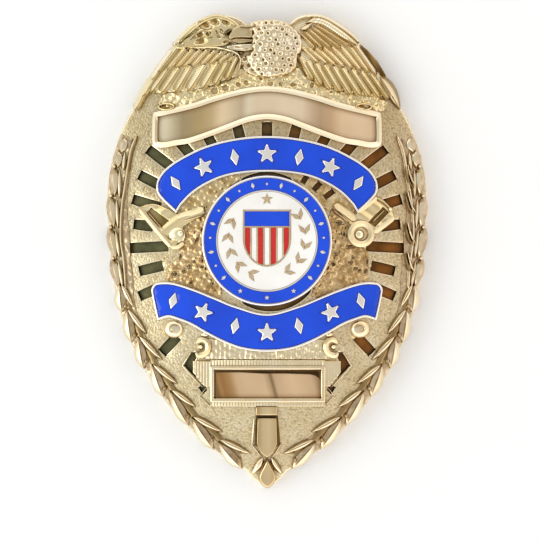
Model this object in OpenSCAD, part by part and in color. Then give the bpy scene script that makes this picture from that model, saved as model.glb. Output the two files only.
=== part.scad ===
// Shield badge: a domed cast shield with an eagle, a laurel border and a sunburst, two enamelled
// ribbons, an applied round seal, and a pin bar riveted to its hollow back.
// Lengths are millimetres. The face looks along +Z, the eagle is toward +Y, the flat back rim lies
// on z = 0, and the middle of the outline is over the origin.
// Places on the face are shares of the half width (x) and the half length (y) of the shield.

/* [Shield] */
// Width across the laurel border
shield_w = 51.2; // [48:0.2:55]
// Length from the wing tops to the point
shield_h = 76.2; // [72:0.2:81]
// Thickness of the casting at its outline
edge_t = 2; // [1.8:0.1:2.4]
// Wall between the face and the hollow back
wall = 2; // [1.7:0.1:2.3]
// Rise of the domed face above the outline
dome_rise = 5.2; // [4.9:0.1:6]
// Width of the flat rim round the hollow back
rim_w = 1.6; // [1.2:0.1:2.2]

/* [Border] */
// How far the laurel leaves stand out past the plate
leaf_overhang = 0.45; // [0.2:0.05:0.7]
// Height of a laurel leaf's ridge above the face
leaf_rise = 1.1; // [0.8:0.1:1.5]
// Width of the widest laurel leaf
leaf_w = 1.75; // [1.3:0.05:2]

/* [Sunburst] */
// Width of a slot between two rays
slot_w = 1.6; // [1.2:0.1:1.8]
// Depth of a slot
slot_depth = 0.7; // [0.4:0.1:1]

/* [Eagle] */
// Height of the neck above the face
neck_rise = 2.1; // [1.6:0.1:2.6]
// Height of a feather's ridge above the face
feather_rise = 1; // [0.7:0.1:1.4]

/* [Panels] */
// Height of the panel frames above the face
frame_rise = 0.8; // [0.5:0.1:1.1]
// Width of the rim round the name panel
name_rim = 0.5; // [0.4:0.05:0.8]
// Width of the frame round the number panel
number_rim = 0.65; // [0.5:0.05:0.9]
// Width of the milled borders above and below that frame
mill_w = 0.5; // [0.3:0.05:0.7]
// Height of the polished panel floors above the face
panel_floor = 0.15; // [0.1:0.05:0.3]

/* [Ribbons] */
// Height of the ribbon walls above the face
ribbon_rise = 1.1; // [0.9:0.1:1.4]
// Thickness of the ribbon walls
ribbon_wall = 0.28; // [0.2:0.02:0.4]
// Depth of the enamel cells in the ribbons and in the seal
cell_depth = 0.5; // [0.4:0.05:0.7]
// Clearance between the enamel and its cell
enamel_gap = 0.04; // [0.02:0.01:0.06]
// How far the enamel stays below its walls
enamel_drop = 0.08; // [0.04:0.02:0.16]
// Point to centre distance of a ribbon star
star_r = 1.8; // [1.5:0.1:2]

/* [Seal] */
// Diameter of the seal over its rim
seal_d = 20.8; // [19.6:0.2:21.6]
// Thickness of the seal disc
seal_t = 1.3; // [1.1:0.1:1.8]
// Width of the seal's rim
seal_rim = 0.4; // [0.3:0.05:0.6]
// Width of the blue enamel ring
ring_w = 1.9; // [1.7:0.1:2.2]
// Width of the wall between the ring and the field
ring_wall = 0.22; // [0.2:0.02:0.3]
// Width of the small heraldic shield
crest_w = 7.6; // [6.6:0.2:8.2]
// Length of the small heraldic shield
crest_h = 9; // [8:0.2:9.6]
// Thickness of the walls between the enamel colours
cell_wall = 0.2; // [0.16:0.02:0.26]

/* [Pin back] */
// Diameter of the pin stem
pin_d = 1.1; // [0.9:0.1:1.3]
// Length of the pin bar
bar_l = 30; // [26:1:32]
// Width of the pin bar
bar_w = 6; // [5:0.5:7]
// Thickness of the pin bar
bar_t = 0.8; // [0.6:0.1:1]
// Diameter of the two riveting posts
post_d = 1.6; // [1.4:0.1:2]
// Clearance round the posts and over the bar
pin_gap = 0.1; // [0.05:0.05:0.15]

/* [Hidden] */

gold = [0.84, 0.72, 0.47];
blue = [0.1, 0.3, 0.88];
white = [0.97, 0.97, 0.96];
red = [0.82, 0.1, 0.1];

half_w = shield_w / 2;
half_h = shield_h / 2;

// The face: a dome whose foot follows the outline, with a shorter upper end than lower end
dome_y = 0.063 * half_h;
dome_a = half_w;
dome_top = 0.945 * half_h;
dome_low = 0.985 * half_h;
// How deep the raised work reaches into the casting, and a height above everything on the face
sink = 0.6 * wall;
clear_z = edge_t + 2 * dome_rise + 4;

function dome(p) = dome_rise * (1 - pow(p[0] / dome_a, 2)
    - pow((p[1] - dome_y) / (p[1] > dome_y ? dome_top : dome_low), 2));
function face(p) = edge_t + dome(p);
function lift(p, h) = [p[0], p[1], face(p) + h];
function at(s) = [s[0] * half_w, s[1] * half_h];
function mix(a, b, t) = a + (b - a) * t;
function side(a, b) = let (u = (b - a) / norm(b - a)) [u[1], -u[0]];

// Points of the circular arc from a to b that stands s to the right of its chord, without b
function arc(a, b, s, n) =
    let (c = norm(b - a), r = (c * c / 4 + s * s) / (2 * s), o = (a + b) / 2 - side(a, b) * (r - s),
         from = atan2(a[1] - o[1], a[0] - o[0]), sweep = 2 * asin(c / 2 / r))
    [for (i = [0 : n - 1]) o + r * [cos(from + sweep * i / n), sin(from + sweep * i / n)]];

// Right half of the plate's outline, from the point to the crown: x, y, bulge of the stretch that
// follows as a share of the half width, and its steps
outline_table = [
    [0.020, -0.995, 0.010, 1],
    [0.130, -0.930, 0.235, 9],
    [1.000, 0.063, 0.075, 4],
    [0.850, 0.600, 0.020, 2],
    [0.590, 0.872, 0.045, 3],
    [0.290, 0.990, 0.020, 1],
    [0.125, 0.945, 0.004, 1],
    [0.000, 0.955, 0, 0]];
rows = len(outline_table);
plate_w = half_w - leaf_overhang;
function plate_at(row) = [row[0] * plate_w, row[1] * half_h];
right_side = [for (i = [0 : rows - 2]) let (row = outline_table[i])
    each arc(plate_at(row), plate_at(outline_table[i + 1]), row[2] * half_w, row[3])];
outline = concat(right_side, [plate_at(outline_table[rows - 1])],
    [for (i = [len(right_side) - 1 : -1 : 0]) [-right_side[i][0], right_side[i][1]]]);

// The same rings and spokes carry the face, the hollow and every raised layer
spokes = len(outline);
middle = [0, dome_y];
rim_share = 1 - rim_w / half_w;
rings = [1, rim_share, 0.75, 0.5, 0.25];
function ring_points(shares) = [for (s = shares) each [for (p = outline) mix(middle, p, s)]];

// A closed body between two lists of heights over the same rings, upper one first
module ring_body(shares, top, bottom) {
    flat = ring_points(shares);
    count = len(flat);
    last = (len(shares) - 1) * spokes;
    places = concat(flat, [middle]);
    points = concat(
        [for (i = [0 : count]) [places[i][0], places[i][1], top[i]]],
        [for (i = [0 : count]) [places[i][0], places[i][1], bottom[i]]]);
    under = count + 1;
    faces = concat(
        [for (r = [0 : len(shares) - 2]) each [for (k = [0 : spokes - 1])
            let (a = r * spokes + k, b = r * spokes + (k + 1) % spokes, c = b + spokes, d = a + spokes)
            each [[a, d, b], [b, d, c],
                [under + a, under + b, under + d], [under + b, under + c, under + d]]]],
        [for (k = [0 : spokes - 1]) let (a = last + k, b = last + (k + 1) % spokes)
            each [[a, count, b], [under + a, under + b, under + count]]],
        [for (k = [0 : spokes - 1]) let (n = (k + 1) % spokes)
            each [[k, n, under + k], [n, under + n, under + k]]]);
    polyhedron(points = points, faces = faces, convexity = 8);
}

function heights(shares, h) = [for (p = concat(ring_points(shares), [middle])) face(p) + h];
function level(shares, z) = [for (p = concat(ring_points(shares), [middle])) z];

// A layer from h0 to h1 above the face, over a patch whose corners are shares, in a few columns
module layer(h0, h1, low, high, columns) {
    a = at(low);
    b = at(high);
    flat = [for (i = [0 : columns], y = [a[1], b[1]]) [a[0] + (b[0] - a[0]) * i / columns, y]];
    under = len(flat);
    faces = concat(
        [for (i = [0 : columns - 1]) let (k = 2 * i) each [[k, k + 1, k + 3], [k, k + 3, k + 2],
            [under + k, under + k + 3, under + k + 1], [under + k, under + k + 2, under + k + 3],
            [k, k + 2, under + k], [k + 2, under + k + 2, under + k],
            [k + 1, under + k + 1, k + 3], [k + 3, under + k + 1, under + k + 3]]],
        [[0, under, 1], [1, under, under + 1],
         [under - 2, under - 1, 2 * under - 2], [under - 1, 2 * under - 1, 2 * under - 2]]);
    polyhedron(points = concat([for (p = flat) lift(p, h1)], [for (p = flat) lift(p, h0)]), faces = faces);
}

// Flat children raised over a patch of the face, from h0 to h1 above it
module raised(h0, h1, low, high, columns) {
    intersection() {
        layer(h0, h1, low, high, columns);
        linear_extrude(height = clear_z) children();
    }
}

// The convex body round a list of points
module body_round(points) {
    hull() polyhedron(points = points, faces = [[for (i = [0 : len(points) - 1]) i]]);
}

// A leaf from a to b, w wide, with a ridge h above the face
module leaf(a, b, w, h) {
    n = side(a, b) * w / 2;
    low = [a, mix(a, b, 0.45) + n, b, mix(a, b, 0.45) - n];
    body_round(concat(
        [for (p = low) lift(p, -sink)],
        [lift(low[0], 0.5 * h), lift(low[1], 0.3 * h), lift(low[2], 0.25 * h), lift(low[3], 0.3 * h)],
        [lift(mix(a, b, 0.3), h), lift(mix(a, b, 0.65), 0.9 * h)]));
}

// A feather from a to b: a long low roof, w wide, with its ridge h above the face
module feather(a, b, w, h) {
    n = side(a, b) * w / 2;
    ends = [a + n, b + n * 0.8, b - n * 0.8, a - n];
    body_round(concat([for (p = ends) lift(p, -sink)], [for (p = ends) lift(p, 0.3 * h)],
        [lift(a, h), lift(mix(a, b, 0.85), 0.9 * h)]));
}

// A convex block over a list of corners, h above the face
module block(corners, h) {
    body_round(concat([for (p = corners) lift(p, -sink)], [for (p = corners) lift(p, h)]));
}

// A rounded lump of radius r at c, h above the face, stretched along angle by a factor
module lump(c, r, h, angle = 0, stretch = 1, sides = 6) {
    function round_at(share) = [for (i = [0 : sides - 1]) let (t = 360 * i / sides,
        q = r * share * [cos(t) * stretch, sin(t)])
        c + [q[0] * cos(angle) - q[1] * sin(angle), q[0] * sin(angle) + q[1] * cos(angle)]];
    body_round(concat(
        [for (p = round_at(1)) lift(p, -sink)],
        [for (p = round_at(1)) lift(p, 0.25 * h)],
        [for (p = round_at(0.55)) lift(p, h)]));
}

// Sunburst: angle of a slot on the right side, and its inner and outer end as shares of the half width
seal_y = 0.038 * half_h;
burst_table = [
    [75.5, 0.63, 0.75], [60.5, 0.65, 0.77], [48.5, 0.67, 0.83], [37.7, 0.70, 0.94], [27.4, 0.70, 0.90],
    [17.3, 0.70, 0.88], [7.2, 0.72, 0.84], [-3, 0.62, 0.87], [-13.3, 0.67, 0.82], [-23.4, 0.74, 0.87],
    [-46.8, 0.70, 0.96]];

// Angled slots beside the number panel: the two arms of a chevron, and a notch under it
arm_table = [
    [[0.469, -0.428], [0.428, -0.430], [0.466, -0.487], [0.519, -0.485]],
    [[0.519, -0.485], [0.466, -0.487], [0.438, -0.521], [0.447, -0.535]],
    [[0.388, -0.554], [0.375, -0.588], [0.400, -0.605], [0.428, -0.577]]];

module pit(corners) {
    body_round(concat([for (p = corners) lift(p, -slot_depth)], [for (p = corners) lift(p, slot_depth)]));
}

module slot(angle, from, to) {
    u = [cos(angle), sin(angle)];
    n = [u[1], -u[0]] * slot_w / 2;
    c = [0, seal_y];
    pit([c + u * from * half_w - n, c + u * from * half_w + n,
         c + u * to * half_w + n, c + u * to * half_w - n]);
}

module sunburst() {
    slot(90, 0.63, 0.74);
    for (row = burst_table) {
        slot(row[0], row[1], row[2]);
        slot(180 - row[0], row[1], row[2]);
    }
    for (arm = arm_table, way = [1, -1]) pit([for (p = arm) at([way * p[0], p[1]])]);
}

// Laurel: a place on the border at arc length s from the widest point, down when negative
low_r = 0.81 * shield_w;
top_r = 1.10 * shield_w;
function border(s, inset) =
    let (r = s < 0 ? low_r : top_r, t = s / r * 180 / PI)
    [half_w - r + (r - inset) * cos(t), dome_y + (r - inset) * sin(t)];

low_leaves = 7;
low_pitch = 0.1383 * half_h;
top_leaves = 5;
top_pitch = 0.1247 * half_h;
split_s = -0.197 * half_h;
// Leaves of one spray: place of the foot and the tip along the branch in pitches, their insets in
// leaf widths, and the width as a share of the widest leaf
spray_table = [
    [0.00, 0.98, 0.60, 0.25, 1.00],
    [0.10, 1.12, 0.80, 0.95, 0.80],
    [0.02, 0.98, 0.95, 1.75, 0.72]];

module branch(from, pitch, count) {
    for (k = [0 : count - 1], row = spray_table)
        leaf(border(from + (k + row[0]) * pitch, row[2] * leaf_w),
             border(from + (k + row[1]) * pitch, row[3] * leaf_w), row[4] * leaf_w, leaf_rise);
}

module laurel_side() {
    branch(split_s, -low_pitch, low_leaves);
    branch(split_s - 0.1 * top_pitch, top_pitch, top_leaves);
    leaf(border(split_s + top_leaves * top_pitch, 0.6 * leaf_w),
         border(split_s + (top_leaves + 1.3) * top_pitch, 1.3 * leaf_w), 0.7 * leaf_w, leaf_rise);
}

module laurel() {
    laurel_side();
    mirror([1, 0, 0]) laurel_side();
}

// Wings: each row of feathers runs from the roots at its two ends to the tips at its two ends, with
// its count, its width as a share of the pitch, and how far the middle tips hang lower
wing_rows = [
    // roots x, y, to x, y, tips x, y, to x, y, count, width, sag
    [[0.225, 0.921, 0.345, 0.963, 0.331, 0.847, 0.563, 0.868], 5, 0.95, 0],
    [[0.213, 0.840, 0.563, 0.857, 0.325, 0.786, 0.681, 0.748], 8, 0.95, 0],
    [[0.194, 0.790, 0.656, 0.748, 0.250, 0.714, 0.744, 0.634], 9, 0.95, 0.017]];
left_rows = [
    [[-0.594, 0.857, -0.419, 0.849, -0.688, 0.782, -0.519, 0.765], 5, 0.95, 0],
    [[-0.400, 0.845, -0.206, 0.819, -0.481, 0.769, -0.281, 0.773], 6, 0.95, 0],
    [[-0.669, 0.773, -0.181, 0.807, -0.775, 0.639, -0.244, 0.714], 10, 0.95, 0.02],
    [[-0.450, 0.929, -0.219, 0.950, -0.410, 0.861, -0.240, 0.870], 4, 0.8, 0]];

module feathers(row) {
    e = row[0];
    count = row[1];
    root_a = at([e[0], e[1]]);
    root_b = at([e[2], e[3]]);
    tip_a = at([e[4], e[5]]);
    tip_b = at([e[6], e[7]]);
    along = side(mix(root_a, root_b, 0.5), mix(tip_a, tip_b, 0.5));
    pitch = abs((tip_b - tip_a) * along) / (count - 1);
    for (i = [0 : count - 1]) {
        t = i / (count - 1);
        drop = [0, -row[3] * half_h * 4 * t * (1 - t)];
        feather(mix(root_a, root_b, t), mix(tip_a, tip_b, t) + drop, row[2] * pitch, feather_rise);
    }
}

// A band of width w along a list of places, h above the face. Neighbouring stretches share an end.
module band(places, w, h) {
    last = len(places) - 1;
    axis = [for (p = places) at(p)];
    across = [for (i = [0 : last]) side(axis[max(i - 1, 0)], axis[min(i + 1, last)]) * w / 2];
    for (i = [0 : last - 1])
        body_round([for (k = [i, i + 1], way = [-1, 1]) each [
            lift(axis[k] + way * across[k], -sink), lift(axis[k] + way * across[k], 0.5 * h),
            lift(axis[k] + way * across[k] * 0.5, h)]]);
}

right_shoulder = [[0.137, 0.940], [0.200, 0.968], [0.290, 0.979], [0.400, 0.955],
    [0.500, 0.915], [0.590, 0.868]];
left_shoulder = [[-0.175, 0.945], [-0.270, 0.979], [-0.360, 0.975], [-0.440, 0.950],
    [-0.520, 0.910], [-0.600, 0.862]];

module wings() {
    for (row = wing_rows) feathers(row);
    for (row = left_rows) feathers(row);
    band(right_shoulder, 0.032 * shield_w, 1.1 * feather_rise);
    band(left_shoulder, 0.032 * shield_w, 1.1 * feather_rise);
    // The long outer feather that ends each wing
    for (way = [1, -1])
        leaf(at([way * 0.710, 0.725]), at([way * 0.830, 0.605]), 0.033 * shield_w, 1.2 * feather_rise);
}

// Head, neck and breast of the eagle, looking to the left
module eagle() {
    lump(at([0.060, 0.865]), 0.073 * shield_w, 0.8 * neck_rise, 90, 1.1, 12);
    lump(at([0.045, 0.905]), 0.050 * shield_w, neck_rise, 0, 1.15, 10);
    lump(at([0.030, 0.760]), 0.060 * shield_w, 0.55 * neck_rise, 0, 1.3, 10);
    // Upper and lower beak
    beak = [[-0.060, 0.945], [-0.200, 0.938], [-0.245, 0.900], [-0.240, 0.882], [-0.205, 0.888],
        [-0.060, 0.882]];
    jaw = [[-0.060, 0.872], [-0.215, 0.868], [-0.235, 0.858], [-0.150, 0.832], [-0.060, 0.828]];
    block([for (p = beak) at(p)], 0.75 * neck_rise);
    block([for (p = jaw) at(p)], 0.55 * neck_rise);
    // Tail coverts and branch under the breast: place, radius as a share of the width
    for (row = [[-0.20, 0.703, 0.025], [-0.10, 0.715, 0.027], [0.00, 0.720, 0.029], [0.10, 0.715, 0.027],
                [0.20, 0.703, 0.025], [-0.15, 0.752, 0.022], [0.18, 0.747, 0.022]])
        lump(at([row[0], row[1]]), row[2] * shield_w, 0.35 * neck_rise, 0, 1.3);
}

// Name panel under the eagle: a low arch with straight sides and rounded lower corners
function name_outline(grow) =
    let (x = 0.706 * half_w + grow, corner = 0.042 * half_w)
    concat(
        arc([x, 0.452 * half_h - grow], [x, 0.571 * half_h + grow], 0.004 * half_w, 1),
        arc([x, 0.571 * half_h + grow], [-x, 0.571 * half_h + grow], 0.165 * half_w, 8),
        [[-x, 0.571 * half_h + grow], [-x, 0.452 * half_h - grow], [-x + corner, 0.445 * half_h - grow]],
        [for (i = [0 : 8]) let (t = -1 + i / 4)
            [(0.60 * half_w) * t, (0.455 + 0.087 * (1 - t * t)) * half_h - grow]],
        [[x - corner, 0.445 * half_h - grow]]);

module name_panel() {
    difference() {
        raised(-sink, frame_rise, [-0.83, 0.40], [0.83, 0.75], 8) polygon(name_outline(name_rim));
        raised(panel_floor, 2 * frame_rise, [-0.83, 0.40], [0.83, 0.75], 8) polygon(name_outline(0));
    }
    // Scroll ends that the panel's rim is rolled from
    for (way = [1, -1]) lump(at([way * 0.615, 0.600]), 0.020 * shield_w, 1.1 * frame_rise, way * -10, 1.7);
}

// Number panel with its frame, its milled borders and the hatched blocks beside it
hatch_block = [[0.345, -0.464], [0.480, -0.464], [0.470, -0.500], [0.405, -0.572], [0.345, -0.600]];
module number_panel() {
    inner = at([0.320, 0]);
    low = -0.622 * half_h;
    high = -0.504 * half_h;
    difference() {
        union() {
            raised(-sink, frame_rise, [-0.5, -0.7], [0.5, -0.44], 4)
                translate([-inner[0] - number_rim, low - number_rim - mill_w])
                    square([2 * (inner[0] + number_rim), high - low + 2 * (number_rim + mill_w)]);
            for (way = [1, -1])
                block([for (p = hatch_block) at([way * p[0], p[1]])], 0.5 * frame_rise);
        }
        raised(panel_floor, 2 * frame_rise, [-0.5, -0.7], [0.5, -0.44], 4)
            translate([-inner[0], low]) square([2 * inner[0], high - low]);
    }
}

// Spike at the point: plinth, tapering block, two leaves and the drop that ends the shield
module spike() {
    post = [[-0.075, -0.697], [0.075, -0.697], [0.090, -0.815], [0.015, -0.885], [-0.015, -0.885],
        [-0.072, -0.815]];
    block([for (p = post) at(p)], frame_rise);
    plinth = [[-0.080, -0.665], [0.080, -0.665], [0.080, -0.690], [-0.080, -0.690]];
    block([for (p = plinth) at(p)], 0.7 * frame_rise);
    for (way = [1, -1])
        leaf(at([way * 0.020, -0.878]), at([way * 0.085, -0.945]), 0.022 * shield_w, frame_rise);
    drop = [[0, -0.890], [0.052, -0.958], [0.045, -0.975], [0, -1], [-0.045, -0.975], [-0.052, -0.958]];
    body_round(concat([for (p = drop) lift(at(p), -0.5 * sink)],
        [for (p = drop) lift(at(p), 0.5 * frame_rise)], [lift(at([0, -0.955]), 1.2 * frame_rise)]));
}

// Upper ribbon: an arched band. Right half from the middle of its top, as shares
upper_table = [[0.000, 0.468], [0.188, 0.458], [0.375, 0.428], [0.531, 0.378], [0.625, 0.334],
    [0.669, 0.294], [0.678, 0.260], [0.663, 0.231], [0.569, 0.168], [0.541, 0.197], [0.456, 0.252],
    [0.331, 0.299], [0.200, 0.325], [0.000, 0.335]];
// Lower ribbon: a swag with its two ends turned up
lower_table = [[0.000, -0.276], [0.200, -0.243], [0.331, -0.207], [0.463, -0.172], [0.594, -0.146],
    [0.681, -0.146], [0.701, -0.155], [0.709, -0.172], [0.676, -0.283], [0.613, -0.273],
    [0.551, -0.284], [0.469, -0.306], [0.387, -0.338], [0.270, -0.378], [0.150, -0.407], [0.000, -0.417]];

function mirrored(table) = concat([for (p = table) at(p)],
    [for (i = [len(table) - 2 : -1 : 1]) at([-table[i][0], table[i][1]])]);

module star(r) {
    polygon([for (i = [0 : 9]) let (q = i % 2 == 0 ? r : 0.42 * r) q * [sin(36 * i), cos(36 * i)]]);
}

module lozenge(r) {
    polygon([[0, r], [0.5 * r, 0], [0, -r], [-0.5 * r, 0]]);
}

// Raised ornaments on the right half of a ribbon, from its middle out: x, y, turn
upper_ornaments = [[0, 0.402, 0], [0.201, 0.388, -12], [0.394, 0.347, -23], [0.570, 0.280, -35]];
lower_ornaments = [[0, -0.346, 0], [0.199, -0.318, 14], [0.398, -0.261, 22], [0.586, -0.213, 16]];

module ornaments(table, grow) {
    for (i = [0 : len(table) - 1], way = [1, -1])
        translate(at([way * table[i][0], table[i][1]])) rotate(way * table[i][2]) {
            if (i % 2 == 0) star(star_r + grow);
            else lozenge(0.8 * star_r + grow);
        }
}

// Patches of the face that hold the ribbons
upper_patch = [[-0.83, 0.13], [0.83, 0.52]];
lower_patch = [[-0.83, -0.46], [0.83, -0.10]];

module ribbon(table, marks, patch) {
    difference() {
        raised(-sink, ribbon_rise, patch[0], patch[1], 8)
            offset(delta = ribbon_wall) polygon(mirrored(table));
        raised(ribbon_rise - cell_depth, 2 * ribbon_rise, patch[0], patch[1], 8)
            difference() {
                polygon(mirrored(table));
                ornaments(marks, 0);
            }
    }
}

module ribbon_enamel(table, marks, patch) {
    raised(ribbon_rise - cell_depth + enamel_gap, ribbon_rise - enamel_drop, patch[0], patch[1], 8)
        difference() {
            offset(delta = -enamel_gap) polygon(mirrored(table));
            ornaments(marks, enamel_gap);
        }
}

// Folds of the upper ribbon behind its ends, and the strips that run from them to the seal
left_fold = [[-0.805, 0.181], [-0.731, 0.195], [-0.575, 0.163], [-0.523, 0.100], [-0.600, 0.013]];
right_fold = [[0.570, 0.158], [0.684, 0.220], [0.788, 0.172], [0.794, 0.124], [0.640, 0.040],
    [0.600, 0.075]];
left_strip = [[-0.575, 0.160], [-0.400, 0.175], [-0.406, 0.145], [-0.560, 0.118]];
right_strip = [[0.434, 0.200], [0.560, 0.150], [0.530, 0.110], [0.425, 0.165]];
// Rolls and curls: x, y, radius as a share of the half width
roll_table = [[-0.562, 0.059, 0.078], [0.587, 0.062, 0.086], [-0.586, -0.333, 0.070], [0.590, -0.333, 0.072],
    [-0.408, -0.403, 0.045], [0.425, -0.403, 0.045]];

module roll(c, r) {
    lump(c, r, 0.95 * ribbon_rise, 0, 1, 10);
    lump(c, 0.5 * r, 1.25 * ribbon_rise);
}

module folds() {
    for (fold = [left_fold, right_fold]) block([for (p = fold) at(p)], 0.6 * ribbon_rise);
    for (strip = [left_strip, right_strip]) block([for (p = strip) at(p)], 0.75 * ribbon_rise);
    for (row = roll_table) roll(at([row[0], row[1]]), row[2] * half_w);
}

// Foliage beside the seal: x, y, radius as a share of the half width, angle, stretch
foliage_table = [[0.500, -0.020, 0.090, 60, 1.3], [0.470, -0.085, 0.080, 20, 1.4],
    [0.575, -0.075, 0.065, -40, 1.3], [0.445, 0.060, 0.060, 90, 1.3], [0.400, -0.140, 0.055, 10, 1.6]];

module foliage() {
    for (way = [1, -1], row = foliage_table)
        lump(at([way * row[0], row[1]]), row[2] * half_w, 0.6 * ribbon_rise, way * row[3], row[4]);
}

// Seat of the seal: its top is flat and higher than the ribbons beside it
seat_z = face([0, dome_y]) + 0.5 * ribbon_rise;
seat_d = 0.9 * seal_d;

module seal_seat() {
    translate([0, seal_y, edge_t]) cylinder(d = seat_d, h = seat_z - edge_t, $fn = 48);
}

// The hollow back, the flat pad that carries the pin bar, and the posts that it is riveted to
function ceiling(p) = face(p) - wall;
bar_y = 0.08 * half_h;
bar_corner = [bar_w / 2, bar_l / 2];
pad_drop = 0.1;
pad_z = min(ceiling(bar_corner + [0, bar_y]), ceiling([bar_corner[0], bar_y - bar_corner[1]])) - pad_drop;
pad_margin = 0.5;
post_y = 0.27 * bar_l;
post_end = pad_z - bar_t - 2 * pin_gap;
head_t = 0.4;
head_d = 1.6 * post_d;
below = 1;

module hollow() {
    shares = [for (i = [1 : len(rings) - 1]) rings[i]];
    ring_body(shares, [for (z = heights(shares, -wall)) max(z, -below / 2)], level(shares, -below));
}

module pad() {
    translate([-bar_w / 2 - pad_margin, bar_y - bar_l / 2 - pad_margin, pad_z])
        cube([bar_w + 2 * pad_margin, bar_l + 2 * pad_margin, wall]);
}

module posts() {
    for (way = [1, -1]) translate([0, bar_y + way * post_y, 0]) {
        translate([0, 0, post_end - head_t / 2])
            cylinder(d = post_d, h = pad_z - post_end + head_t, $fn = 24);
        translate([0, 0, post_end - head_t])
            cylinder(d1 = 0.75 * head_d, d2 = head_d, h = head_t, $fn = 24);
    }
}

module shield() {
    color(gold) {
        difference() {
            union() {
                difference() {
                    ring_body(rings, heights(rings, 0), level(rings, 0));
                    sunburst();
                }
                laurel();
                wings();
                eagle();
                name_panel();
                number_panel();
                spike();
                foliage();
                folds();
                ribbon(upper_table, upper_ornaments, upper_patch);
                ribbon(lower_table, lower_ornaments, lower_patch);
                seal_seat();
            }
            hollow();
        }
        pad();
        posts();
    }
}

module upper_ribbon_enamel() { color(blue) ribbon_enamel(upper_table, upper_ornaments, upper_patch); }
module lower_ribbon_enamel() { color(blue) ribbon_enamel(lower_table, lower_ornaments, lower_patch); }

// Seal: radii and heights
seal_r = seal_d / 2;
ring_out = seal_r - seal_rim;
ring_in = ring_out - ring_w;
field_r = ring_in - ring_wall;
seal_z = seat_z + enamel_gap;
cell_z = seal_z + seal_t - cell_depth;
enamel_t = cell_depth - enamel_gap - enamel_drop;

// The small heraldic shield: straight sides, then two arcs that meet at its point
crest_y = 0.02 * seal_d;
chief_share = 0.30;
crest_steps = 8;
module crest(grow) {
    w = crest_w / 2 + grow;
    top = crest_h / 2 + grow;
    translate([0, crest_y])
        polygon(concat(
            [[-w, top]],
            [for (i = [0 : 2 * crest_steps]) let (t = 90 * i / crest_steps) [-w * cos(t), -top * sin(t)]],
            [[w, top]]));
}

chief_y = crest_y + crest_h / 2 - chief_share * crest_h;
pale_w = (crest_w - 2 * cell_wall) / 7;

// Cell of the chief, and of stripe i of seven counted from 0
module chief_cell(grow) {
    intersection() {
        crest(grow - cell_wall);
        translate([-crest_w, chief_y + cell_wall / 2 - grow]) square([2 * crest_w, crest_h]);
    }
}

module pale_cell(i, grow) {
    intersection() {
        crest(grow - cell_wall);
        translate([-crest_w / 2 + cell_wall + i * pale_w + cell_wall / 2 - grow, -crest_h])
            square([pale_w - cell_wall + 2 * grow, crest_h + chief_y - cell_wall / 2 + grow]);
    }
}

// Raised leaves of the two sprigs beside the small shield, and the star over it
sprig_leaves = 5;
module sprigs(grow) {
    for (way = [1, -1], i = [0 : sprig_leaves - 1], lean = [-1, 1]) {
        t = -62 + i * 23;
        r = 0.78 * field_r;
        translate([way * r * cos(t), crest_y + r * sin(t)])
            rotate(way * (t + 90 + lean * 32) + (way < 0 ? 180 : 0))
                translate([way * 0.075 * seal_d / 2, 0])
                    polygon([[-0.045 * seal_d - grow, 0], [0, 0.016 * seal_d + grow],
                             [0.045 * seal_d + grow, 0], [0, -0.016 * seal_d - grow]]);
    }
}

module seal_star(grow) {
    translate([0, 0.84 * field_r]) star(0.045 * seal_d + grow);
}

// Raised marks in the blue ring: lozenges round the top, three stars below
ring_marks = 19;
module ring_ornaments(grow) {
    r = (ring_in + ring_out) / 2;
    for (i = [0 : ring_marks - 1]) {
        t = (i - (ring_marks - 1) / 2) * 14.5;
        translate([r * sin(t), r * cos(t)]) rotate(-t) scale([i % 2 == 0 ? 1 : 0.8, i % 2 == 0 ? 1 : 0.5])
            lozenge(0.3 * ring_w + grow);
    }
    for (t = [-28, 0, 28]) translate([r * sin(180 + t), r * cos(180 + t)]) star(0.26 * ring_w + grow);
}

module seal_disc() {
    color(gold) translate([0, seal_y, 0]) difference() {
        translate([0, 0, seal_z]) cylinder(r = seal_r, h = seal_t);
        translate([0, 0, cell_z]) linear_extrude(height = seal_t)
            difference() {
                circle(r = ring_out);
                circle(r = ring_in);
                ring_ornaments(0);
            }
        translate([0, 0, cell_z]) linear_extrude(height = seal_t)
            difference() {
                circle(r = field_r);
                crest(0);
                sprigs(0);
                seal_star(0);
            }
        translate([0, 0, cell_z]) linear_extrude(height = seal_t) {
            chief_cell(0);
            for (i = [0 : 6]) pale_cell(i, 0);
        }
    }
}

module seal_enamel() {
    translate([0, seal_y, cell_z + enamel_gap]) linear_extrude(height = enamel_t) children();
}

module seal_ring_enamel() {
    color(blue) seal_enamel() difference() {
        circle(r = ring_out - enamel_gap);
        circle(r = ring_in + enamel_gap);
        ring_ornaments(enamel_gap);
    }
}

module seal_field_enamel() {
    color(white) seal_enamel() difference() {
        circle(r = field_r - enamel_gap);
        crest(enamel_gap);
        sprigs(enamel_gap);
        seal_star(enamel_gap);
    }
}

module seal_chief_enamel() { color(blue) seal_enamel() chief_cell(-enamel_gap); }
module red_pale(n) { color(red) seal_enamel() pale_cell(2 * (n - 1), -enamel_gap); }
module white_pale(n) { color(white) seal_enamel() pale_cell(2 * n - 1, -enamel_gap); }

// Pin back in one piece: bar, block, stem and catch
stem_z = pin_d / 2 + 0.5;
knuckle_d = pin_d + 0.8;
block_w = 3.4;
block_l = 4;
bar_z = pad_z - pin_gap - bar_t;

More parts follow.
